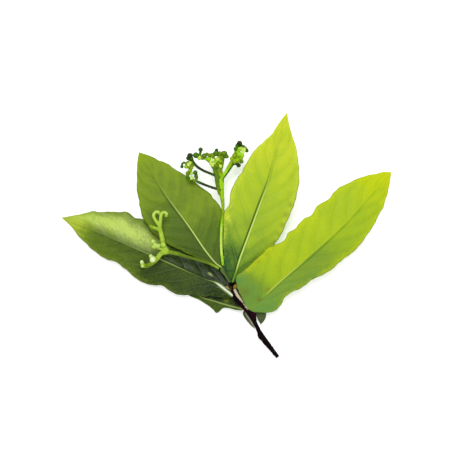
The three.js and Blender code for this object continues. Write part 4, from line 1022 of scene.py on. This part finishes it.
def make_bud(spray):
    """One young bud of radius 1 at the origin: a ball with three seams and a small point on top"""
    deselect()
    bpy.ops.mesh.primitive_uv_sphere_add(segments=12, ring_count=8, radius=1)
    bud = bpy.context.object
    bpy.ops.object.mode_set(mode="EDIT")
    bpy.ops.mesh.select_mode(type="VERT")
    bpy.ops.mesh.select_all(action="DESELECT")
    bpy.ops.object.mode_set(mode="OBJECT")
    for vertex in bud.data.vertices:
        angle = math.degrees(math.atan2(vertex.co.y, vertex.co.x)) % SEAM_GAP
        near = min(angle, SEAM_GAP - angle) < SEAM_REACH
        vertex.select = near and -0.5 < vertex.co.z < BUD_TOP
    bpy.ops.object.mode_set(mode="EDIT")
    inward = 1 - spray.seam
    bpy.ops.transform.resize(value=(inward, inward, 1), center_override=(0, 0, 0))
    bpy.ops.object.mode_set(mode="OBJECT")
    for vertex in bud.data.vertices:
        vertex.select = vertex.co.z > BUD_TOP
    bpy.ops.object.mode_set(mode="EDIT")
    bpy.ops.transform.translate(value=(0, 0, BUD_POINT))
    bpy.ops.object.mode_set(mode="OBJECT")
    apply_modifier(bud, "SUBSURF", levels=1, render_levels=1)
    return bud


def strewn(model, places, name):
    """Copies of a model, each with its matrix and tint, joined to one piece. The model itself goes."""
    copies = []
    for matrix, tint in places:
        copy = model.copy()
        copy.data = model.data.copy()
        copy.matrix_world = Matrix.Identity(4)
        copy.data.transform(matrix)
        bpy.context.collection.objects.link(copy)
        add_attribute(copy, "tint", np.full(len(copy.data.vertices), tint))
        copies.append(copy)
    bpy.data.objects.remove(model)
    return settle(joined(copies), name)


def make_stalks(name, spray, branches):
    """The branches of a spray, fused where they meet"""
    stalks = joined([grown_branch(points, widths) for points, widths, _ in branches])
    apply_modifier(stalks, "REMESH", mode="VOXEL", voxel_size=spray.voxel, use_smooth_shade=True)
    apply_modifier(stalks, "SMOOTH", factor=0.5, iterations=3)
    settle(stalks, name + "_stalks")
    spots = coordinates(stalks)
    nearest = np.full(len(spots), np.inf)
    tint = np.zeros(len(spots))
    shares = np.linspace(0, 1, TINT_STEPS)
    for points, _, tints in branches:
        shades = np.interp(shares, np.linspace(0, 1, len(tints)), tints)
        for centre, shade in zip(SmoothLine(points).point(shares), shades):
            gap = np.linalg.norm(spots - centre, axis=1)
            closer = gap < nearest
            nearest[closer] = gap[closer]
            tint[closer] = shade
    add_attribute(stalks, "tint", tint)
    return stalks


def make_buds(name, spray, buds, seed):
    """The buds of a spray: one bud, copied to every place"""
    draw = random.Random(seed)
    places = []
    for x, y, z, radius, tint in buds:
        up = Vector((draw.uniform(-BUD_TILT, BUD_TILT), draw.uniform(-BUD_TILT, BUD_TILT), 1))
        turn = up.normalized().to_track_quat("Z", "Y").to_matrix().to_4x4()
        turn = turn @ Matrix.Rotation(draw.uniform(0, 2 * math.pi), 4, "Z")
        size = Matrix.Diagonal((radius * MM, radius * MM, radius * MM * draw.uniform(*BUD_STRETCH), 1))
        places.append((Matrix.Translation(Vector((x, y, z)) * MM) @ turn @ size, tint))
    return strewn(make_bud(spray), places, name + "_buds")


class Nodes:
    """Short ways to add and join shader nodes"""

    def __init__(self, tree):
        self.tree = tree

    def add(self, kind, values=None, **settings):
        node = self.tree.nodes.new(kind)
        for key, value in settings.items():
            setattr(node, key, value)
        for socket, value in (values or {}).items():
            if isinstance(value, bpy.types.NodeSocket):
                self.tree.links.new(value, node.inputs[socket])
            else:
                node.inputs[socket].default_value = value
        return node

    def math(self, operation, first, second=0.0, third=0.0):
        values = {0: first, 1: second, 2: third}
        return self.add("ShaderNodeMath", values, operation=operation).outputs[0]

    def times(self, first, second):
        return self.math("MULTIPLY", first, second)

    def scaled(self, value, factor, shift):
        return self.math("MULTIPLY_ADD", value, factor, shift)

    def smooth(self, value, low, high, first=0.0, last=1.0):
        values = {"Value": value, "From Min": low, "From Max": high, "To Min": first, "To Max": last}
        node = self.add("ShaderNodeMapRange", values, interpolation_type="SMOOTHSTEP")
        return node.outputs[0]

    def mix(self, amount, first, second):
        values = {0: amount, 6: self.solid(first), 7: self.solid(second)}
        return self.add("ShaderNodeMix", values, data_type="RGBA").outputs[2]

    def noise(self, where, scale, detail=2.0, roughness=0.5):
        values = {"Vector": where, "Scale": scale, "Detail": detail, "Roughness": roughness}
        return self.add("ShaderNodeTexNoise", values).outputs["Fac"]

    def attribute(self, name):
        return self.add("ShaderNodeAttribute", attribute_name=name).outputs["Fac"]

    def bump(self, height, strength, distance):
        values = {"Height": height, "Strength": strength, "Distance": distance * MM}
        return self.add("ShaderNodeBump", values).outputs[0]

    def skin(self, face, rough, gloss, **more):
        values = {"Base Color": face, "Roughness": rough, "Specular IOR Level": gloss, **more}
        return self.add("ShaderNodeBsdfPrincipled", values)

    def surface(self, shader):
        self.add("ShaderNodeOutputMaterial", {"Surface": shader.outputs[0]})

    def object_place(self):
        return self.add("ShaderNodeTexCoord").outputs["Object"]

    @staticmethod
    def solid(value):
        return value if isinstance(value, bpy.types.NodeSocket) else (*value[:3], 1)


# Cells of the fine net to a metre, and how the wax of a leaf bends light
NET_CELLS = 560
WAX_IOR = 1.45


def new_group(name, inputs, outputs):
    """A shader node group with number sockets, and its nodes for the inputs and the outputs"""
    tree = bpy.data.node_groups.new(name, "ShaderNodeTree")
    for socket, value in inputs.items():
        entry = tree.interface.new_socket(socket, in_out="INPUT", socket_type="NodeSocketFloat")
        entry.default_value = value
    for socket in outputs:
        tree.interface.new_socket(socket, in_out="OUTPUT", socket_type="NodeSocketFloat")
    return tree, tree.nodes.new("NodeGroupInput"), tree.nodes.new("NodeGroupOutput")


def vein_group():
    """Side veins of a blade, worked out from its UV map as in vein_distance, and streaks along them"""
    tree, given, result = new_group(
        "Side Veins", {"Pairs": 9, "Lean": 0.13, "Bow": 0.09, "Start": 0.1, "Width": 0.06},
        ["Veins", "Across", "Puff", "Streaks"])
    n = Nodes(tree)
    uv = n.add("ShaderNodeSeparateXYZ", {0: n.add("ShaderNodeUVMap", uv_map="UVMap").outputs[0]})
    across = n.math("ABSOLUTE", n.scaled(uv.outputs["X"], 2, -1))
    lean = n.scaled(across, given.outputs["Bow"], given.outputs["Lean"])
    begin = n.scaled(across, lean, given.outputs["Start"])
    origin = n.math("SUBTRACT", uv.outputs["Y"], begin)
    side = n.times(n.math("LESS_THAN", uv.outputs["X"], 0.5), VEIN_OFFSET)
    phase = n.scaled(origin, given.outputs["Pairs"], side)
    gap = n.math("PINGPONG", n.math("ADD", phase, 100), 0.5)
    line = n.smooth(gap, n.times(given.outputs["Width"], 0.25), given.outputs["Width"], 1, 0)
    begun = n.math("GREATER_THAN", phase, -0.5)
    fade = n.times(begun, n.smooth(across, 0.55, 0.98, 1, 0.12))
    strips = n.add("ShaderNodeCombineXYZ", {0: n.times(phase, 4), 1: uv.outputs["X"]})
    links = {
        "Veins": n.times(line, fade), "Across": across, "Puff": n.smooth(gap, 0.1, 0.5),
        "Streaks": n.smooth(n.noise(strips.outputs[0], 2, 3), 0.3, 0.7),
    }
    for socket, value in links.items():
        tree.links.new(value, result.inputs[socket])
    return tree


def net_group():
    """The fine net between the side veins: lines round small and smaller cells"""
    tree, given, result = new_group("Fine Net", {"Cells": NET_CELLS}, ["Net", "Fine"])
    n = Nodes(tree)
    where = n.object_place()
    for socket, factor, width in (("Net", 1, 0.09), ("Fine", 2.7, 0.14)):
        cells = n.add(
            "ShaderNodeTexVoronoi",
            {"Vector": where, "Scale": n.times(given.outputs["Cells"], factor)},
            feature="DISTANCE_TO_EDGE")
        tree.links.new(n.smooth(cells.outputs["Distance"], 0.01, width, 1, 0), result.inputs[socket])
    return tree


def mottle_group():
    """Soft patches of a size in metres, with finer ones in them"""
    tree, given, result = new_group("Mottle", {"Size": 0.01, "Contrast": 0.2}, ["Patches", "Specks"])
    n = Nodes(tree)
    where = n.object_place()
    scale = n.math("DIVIDE", 1, given.outputs["Size"])
    low = n.math("SUBTRACT", 0.5, given.outputs["Contrast"])
    high = n.math("ADD", 0.5, given.outputs["Contrast"])
    tree.links.new(n.smooth(n.noise(where, scale, 3), low, high), result.inputs["Patches"])
    specks = n.noise(where, n.times(scale, 9), 4, 0.6)
    tree.links.new(n.smooth(specks, low, high), result.inputs["Specks"])
    return tree


GROUPS = {"Side Veins": vein_group, "Fine Net": net_group, "Mottle": mottle_group}


def use_group(n, name, **values):
    """Places a shared effect in a material, built the first time it is asked for"""
    tree = bpy.data.node_groups.get(name) or GROUPS[name]()
    given = {key.title(): value for key, value in values.items()}
    return n.add("ShaderNodeGroup", given, node_tree=tree).outputs


def new_material(name):
    """An empty material and its nodes"""
    material = bpy.data.materials.new(name)
    material.use_nodes = True
    material.node_tree.nodes.clear()
    return material, Nodes(material.node_tree)


def shade_ramp(n, value, shades):
    """A ramp that runs through the given colours at even steps"""
    ramp = n.add("ShaderNodeValToRGB", {"Fac": value})
    stops = ramp.color_ramp.elements
    for i, shade in enumerate(shades):
        place = i / (len(shades) - 1)
        stop = stops[0] if i == 0 else stops[-1] if place == 1 else stops.new(place)
        stop.position = place
        stop.color = (*shade[:3], 1)
    return ramp.outputs["Color"]


def leaf_material(name, colours, blade, look):
    """Waxy leaf: patches, paler margin, tip and veins, a fine net, bloom, and a paler lower face"""
    roughness, gloss, see_through, vein_share, margin_share = look
    material, n = new_material(name)
    field = use_group(
        n, "Side Veins", pairs=blade.vein_pairs, lean=blade.vein_lean, bow=blade.vein_bow,
        start=blade.vein_start)
    net = use_group(n, "Fine Net", cells=NET_CELLS)
    mottle = use_group(n, "Mottle", size=0.011, contrast=0.16)
    across = field["Across"]
    patches = n.scaled(mottle["Patches"], 0.14, -0.07)
    specks = n.scaled(mottle["Specks"], 0.06, -0.03)
    # How far the colour has run towards the tip's, kept low near the twig partly as painted shade
    ripe = n.math("ADD", n.math("ADD", n.attribute("ripe"), patches), specks)
    ripe = n.scaled(field["Puff"], 0.05, ripe)
    ripe = n.scaled(field["Streaks"], 0.06, n.math("SUBTRACT", ripe, 0.03))
    face = shade_ramp(n, ripe, [getattr(colours, key) for key in ("base", "low", "face", "high", "tip")])
    broken = n.smooth(mottle["Specks"], 0, 1, 0.5, 1)
    # Dark patches and painted shadows
    face = n.mix(n.times(n.attribute("mark"), broken), face, colours.mark)
    margin = n.times(n.smooth(across, 0.75, 1.0), margin_share)
    margin = n.times(margin, n.smooth(ripe, 0.02, 0.35))
    margin = n.math("MAXIMUM", margin, n.attribute("gilt"))
    margin = n.times(margin, broken)
    face = n.mix(margin, face, colours.edge)
    face = n.mix(n.times(net["Net"], 0.1), face, colours.side_vein)
    face = n.mix(n.times(field["Veins"], vein_share), face, colours.side_vein)
    # The pale band, broken into streaks: a painted sheen on the left leaf and pale tissue on the bract
    streaks = n.scaled(field["Veins"], -0.3, n.smooth(field["Streaks"], 0, 1, 0.85, 1))
    streaks = n.scaled(net["Net"], -0.15, streaks)
    streaks = n.times(streaks, n.smooth(mottle["Specks"], 0, 1, 0.7, 1))
    bloom = n.times(n.attribute("bloom"), streaks)
    face = n.mix(bloom, face, colours.bloom)
    # A painted shadow beside the midrib
    face = n.mix(n.attribute("seam"), face, colours.seam)
    # The pale midrib, with the painted highlight on the left leaf's stalk and painted glints near it
    rib = n.attribute("rib")
    face = n.mix(n.smooth(rib, 0, 0.5), face, colours.side_vein)
    face = n.mix(n.smooth(rib, 0.5, 1), face, colours.vein)
    face = n.mix(n.times(n.attribute("under"), 0.85), face, colours.under)
    relief = n.scaled(net["Net"], -0.6, n.times(net["Fine"], -0.3))
    relief = n.scaled(mottle["Specks"], 0.35, relief)
    bump = n.bump(relief, 0.3, 0.1)
    rough = n.scaled(mottle["Specks"], 0.1, roughness)
    skin = n.skin(face, rough, gloss, Normal=bump, IOR=WAX_IOR)
    through = n.add("ShaderNodeBsdfTranslucent", {"Color": face, "Normal": bump})
    n.surface(n.add("ShaderNodeMixShader", {0: see_through, 1: skin.outputs[0], 2: through.outputs[0]}))
    return material


def tinted_material(name, shades, roughness=0.5, gloss=0.2):
    """Smooth green tissue, darker on its flanks and below, whose tint runs from the first of the given
    colours at 0 to the last at 1"""
    material, n = new_material(name)
    mottle = use_group(n, "Mottle", size=0.0022, contrast=0.2)
    tint = n.scaled(mottle["Patches"], 0.12, n.math("SUBTRACT", n.attribute("tint"), 0.06))
    # Painted shade: the tint darkens where the surface turns away from up
    facing_for_shade = n.add("ShaderNodeSeparateXYZ", {0: n.add("ShaderNodeTexCoord").outputs["Normal"]})
    tint = n.scaled(n.smooth(facing_for_shade.outputs["Z"], 0, 0.65, 1, 0), -0.22, tint)
    bump = n.bump(mottle["Specks"], 0.3, 0.08)
    n.surface(n.skin(shade_ramp(n, tint, shades), roughness, gloss, Normal=bump))
    return material


def bark_material(twig):
    """Dark bark: black in the furrows, reddish on young parts and pale where it has worn"""
    material, n = new_material("bark")
    mottle = use_group(n, "Mottle", size=0.0025, contrast=0.18)
    place = n.attribute("place")
    face = n.mix(n.times(mottle["Patches"], 0.12), twig.bark, twig.red)
    face = n.mix(n.attribute("red"), face, twig.red)
    face = n.mix(n.attribute("knot"), face, twig.knot)
    face = n.mix(n.smooth(n.attribute("furrow"), 0.25, 0.8), face, twig.crack)
    # The pale strip along the upper side of the twig
    worn = n.math("ADD", n.attribute("worn"), n.scaled(mottle["Specks"], 0.4, -0.2))
    face = n.mix(n.smooth(worn, 0.45, 0.7), face, twig.worn)
    face = n.mix(n.smooth(place, 0.004, 0.0), face, twig.wood)
    relief = n.scaled(mottle["Specks"], 0.6, mottle["Patches"])
    rough = n.smooth(mottle["Specks"], 0, 1, 0.6, 0.85)
    n.surface(n.skin(face, rough, 0.06, Normal=n.bump(relief, 0.6, 0.1)))
    return material


# The finish of each leaf, how rough and glossy it is, how far light comes through it, and how plain its
# side veins and its margin are
LEAF_LOOKS = {
    "leaf_left": ("dark_leaf", 0.34, 0.3, 0.1, 0.14, 0.6),
    "leaf_upper_left": ("olive_leaf", 0.5, 0.16, 0.12, 0.1, 0.6),
    "leaf_upper_right": ("bright_leaf", 0.5, 0.16, 0.12, 0.3, 0.5),
    "leaf_right": ("yellow_leaf", 0.5, 0.16, 0.12, 0.3, 0.6),
    "leaf_small_left": ("dark_leaf", 0.45, 0.2, 0.1, 0.1, 0.4),
    "leaf_small_right": ("dull_leaf", 0.55, 0.2, 0.1, 0.1, 0.3),
    "bract": ("dry_scale", 0.7, 0.15, 0.1, 0.1, 0.9),
}


def settings():
    return bpy.context.scene.sprig


def make_leaves(leaves, rows, columns, seed):
    """Leaves from a table, each from its stalk to its tip"""
    s = settings()
    for i, (name, leaf) in enumerate(leaves.items()):
        finish, *look = LEAF_LOOKS[name]
        material = leaf_material(name + "_skin", getattr(s, finish), s.blade, look)
        form = blade_form(leaf, s.blade, seed + 10 * i)
        piece = settle(rolled(4 * columns, rows, form), name + "_blade")
        piece.data.materials.append(material)
        dress(piece, name)


class SPRIG_OT_large_leaves(bpy.types.Operator):
    """Make the four large leaves"""

    bl_idname = "sprig.large_leaves"
    bl_label = "Large Leaves"

    def execute(self, context):
        blade = settings().blade
        make_leaves(LEAVES, blade.rows, blade.columns, SEED)
        return {"FINISHED"}


class SPRIG_OT_small_leaves(bpy.types.Operator):
    """Make the two small leaves and the dry strip beside the twig"""

    bl_idname = "sprig.small_leaves"
    bl_label = "Small Leaves"

    def execute(self, context):
        blade = settings().blade
        make_leaves(SMALL_LEAVES, blade.small_rows, blade.small_columns, SEED + 50)
        return {"FINISHED"}


class SPRIG_OT_twig(bpy.types.Operator):
    """Make the woody twig with its bark, and the scales round its top"""

    bl_idname = "sprig.twig"
    bl_label = "Twig"

    def execute(self, context):
        twig = settings().twig
        wood = settle(rolled(64, 260, tube_form(TWIG_LINE, bark_radius(twig), inset=0.002)), "twig_bark")
        wood.data.materials.append(bark_material(twig))
        dress(wood, "twig")
        share = np.array([SCALE_PLACE])
        centre, tangent, side, up = (Vector(v[0]) for v in side_frames(SmoothLine(TWIG_LINE), share))
        radius = float(value_at(TWIG_RADII, share)[0]) * MM
        places = []
        for i, tint in enumerate(SCALE_TINTS):
            angle = 2 * math.pi * i / len(SCALE_TINTS)
            outward = side * math.cos(angle) + up * math.sin(angle)
            way = (tangent + outward * SCALE_LEAN).normalized()
            face = (outward - way * outward.dot(way)).normalized()
            basis = Matrix((face, way.cross(face), way)).transposed().to_4x4()
            places.append((Matrix.Translation(centre + outward * radius) @ basis, tint))
        scales = strewn(make_scale(twig), places, "bud_scales")
        scales.data.materials.append(
            tinted_material("bud_scale", [twig.scale_dark, twig.scale_green, twig.scale_pale], 0.6, 0.15))
        dress(scales, "twig")
        return {"FINISHED"}


class SPRIG_OT_shoot(bpy.types.Operator):
    """Make the green shoot of the new season"""

    bl_idname = "sprig.shoot"
    bl_label = "Green Shoot"

    def execute(self, context):
        twig = settings().twig
        shoot = settle(rolled(40, 60, tube_form(SHOOT_LINE, shoot_radius, 0.06)), "green_shoot_skin")
        shoot.data.materials.append(tinted_material("shoot_green", [twig.shoot_shade, twig.shoot]))
        dress(shoot, "green_shoot")
        return {"FINISHED"}


class SPRIG_OT_sprays(bpy.types.Operator):
    """Make the two flower sprays: fused stalks and round buds"""

    bl_idname = "sprig.sprays"
    bl_label = "Flower Sprays"

    def execute(self, context):
        spray = settings().spray
        finishes = {
            "spray_upper": (spray.dark, spray.green, spray.olive, spray.light, spray.pale),
            "spray_left": (
                spray.left_dark, spray.left_green, spray.left_olive, spray.left_light, spray.left_pale),
        }
        for i, (name, (branches, buds)) in enumerate(SPRAYS.items()):
            stalks = make_stalks(name, spray, branches)
            balls = make_buds(name, spray, buds, SEED + i)
            for piece, kind in ((stalks, "stalk"), (balls, "bud")):
                piece.data.materials.append(tinted_material(f"{name}_{kind}", finishes[name]))
                dress(piece, name)
        return {"FINISHED"}


# Each light's name, the setting of its power, its size and its place in metres, then the width of the
# camera's sensor in millimetres and the nearest and farthest that it sees
LIGHTS = (
    ("key_light", "key", 0.5, (-0.05, 0.42, 0.95)), ("fill_light", "fill", 0.9, (0.1, -0.7, 0.9)))
SENSOR_WIDTH = 36
NEAREST = 0.01
FARTHEST = 20


class SPRIG_OT_stage(bpy.types.Operator):
    """Lay the floor, hang the soft lights and set the camera above the sprig"""

    bl_idname = "sprig.stage"
    bl_label = "Stage"

    def execute(self, context):
        stage = settings().stage
        deselect()
        bpy.ops.mesh.primitive_plane_add(size=stage.floor_size, location=(0, 0, 0))
        floor = context.object
        floor.name = "floor"
        material, n = new_material("pale_floor")
        glow = {"Emission Color": (1, 1, 1, 1), "Emission Strength": stage.glow}
        n.surface(n.skin((*stage.floor, 1), 0.9, 0.1, **glow))
        floor.data.materials.append(material)
        for name, power, size, place in LIGHTS:
            bpy.ops.object.light_add(type="AREA", location=place)
            light = context.object
            light.name = name
            light.data.energy = getattr(stage, power)
            light.data.size = size
            light.rotation_euler = (-Vector(place)).to_track_quat("-Z", "Y").to_euler()
        world = bpy.data.worlds.new("soft_sky")
        world.use_nodes = True
        background = world.node_tree.nodes["Background"]
        background.inputs["Color"].default_value = (1, 1, 1, 1)
        background.inputs["Strength"].default_value = stage.world
        context.scene.world = world
        place = (stage.camera_x, stage.camera_y, stage.camera_height)
        bpy.ops.object.camera_add(location=place, rotation=(0, 0, 0))
        camera = context.object
        camera.data.lens = stage.focal
        camera.data.sensor_width = SENSOR_WIDTH
        camera.data.clip_start = NEAREST
        camera.data.clip_end = FARTHEST
        context.scene.camera = camera
        context.scene.view_settings.view_transform = "Standard"
        return {"FINISHED"}


class SPRIG_PT_panel(bpy.types.Panel):
    """The steps that make the sprig"""

    bl_idname = "SPRIG_PT_panel"
    bl_label = "Camphor Leaf Sprig"
    bl_space_type = "VIEW_3D"
    bl_region_type = "UI"
    bl_category = "Sprig"

    def draw(self, context):
        for step in STEPS:
            self.layout.operator(step.bl_idname)
        for group in ("blade", *LEAF_FINISHES, "twig", "spray", "stage"):
            box = self.layout.box()
            box.label(text=group.replace("_", " ").title())
            values = getattr(context.scene.sprig, group)
            for key in values.__annotations__:
                box.prop(values, key)


STEPS = (
    SPRIG_OT_stage, SPRIG_OT_large_leaves, SPRIG_OT_small_leaves, SPRIG_OT_twig, SPRIG_OT_shoot,
    SPRIG_OT_sprays,
)
CLASSES = (
    *LEAF_COLOUR_GROUPS.values(), BladeSettings, TwigSettings, SpraySettings, StageSettings,
    SprigSettings, *STEPS, SPRIG_PT_panel,
)


def register():
    for cls in CLASSES:
        bpy.utils.register_class(cls)
    bpy.types.Scene.sprig = PointerProperty(type=SprigSettings)


def unregister():
    del bpy.types.Scene.sprig
    for cls in reversed(CLASSES):
        bpy.utils.unregister_class(cls)


def main():
    register()
    bpy.ops.sprig.stage()
    bpy.ops.sprig.large_leaves()
    bpy.ops.sprig.small_leaves()
    bpy.ops.sprig.twig()
    bpy.ops.sprig.shoot()
    bpy.ops.sprig.sprays()


if __name__ == "__main__":
    main()
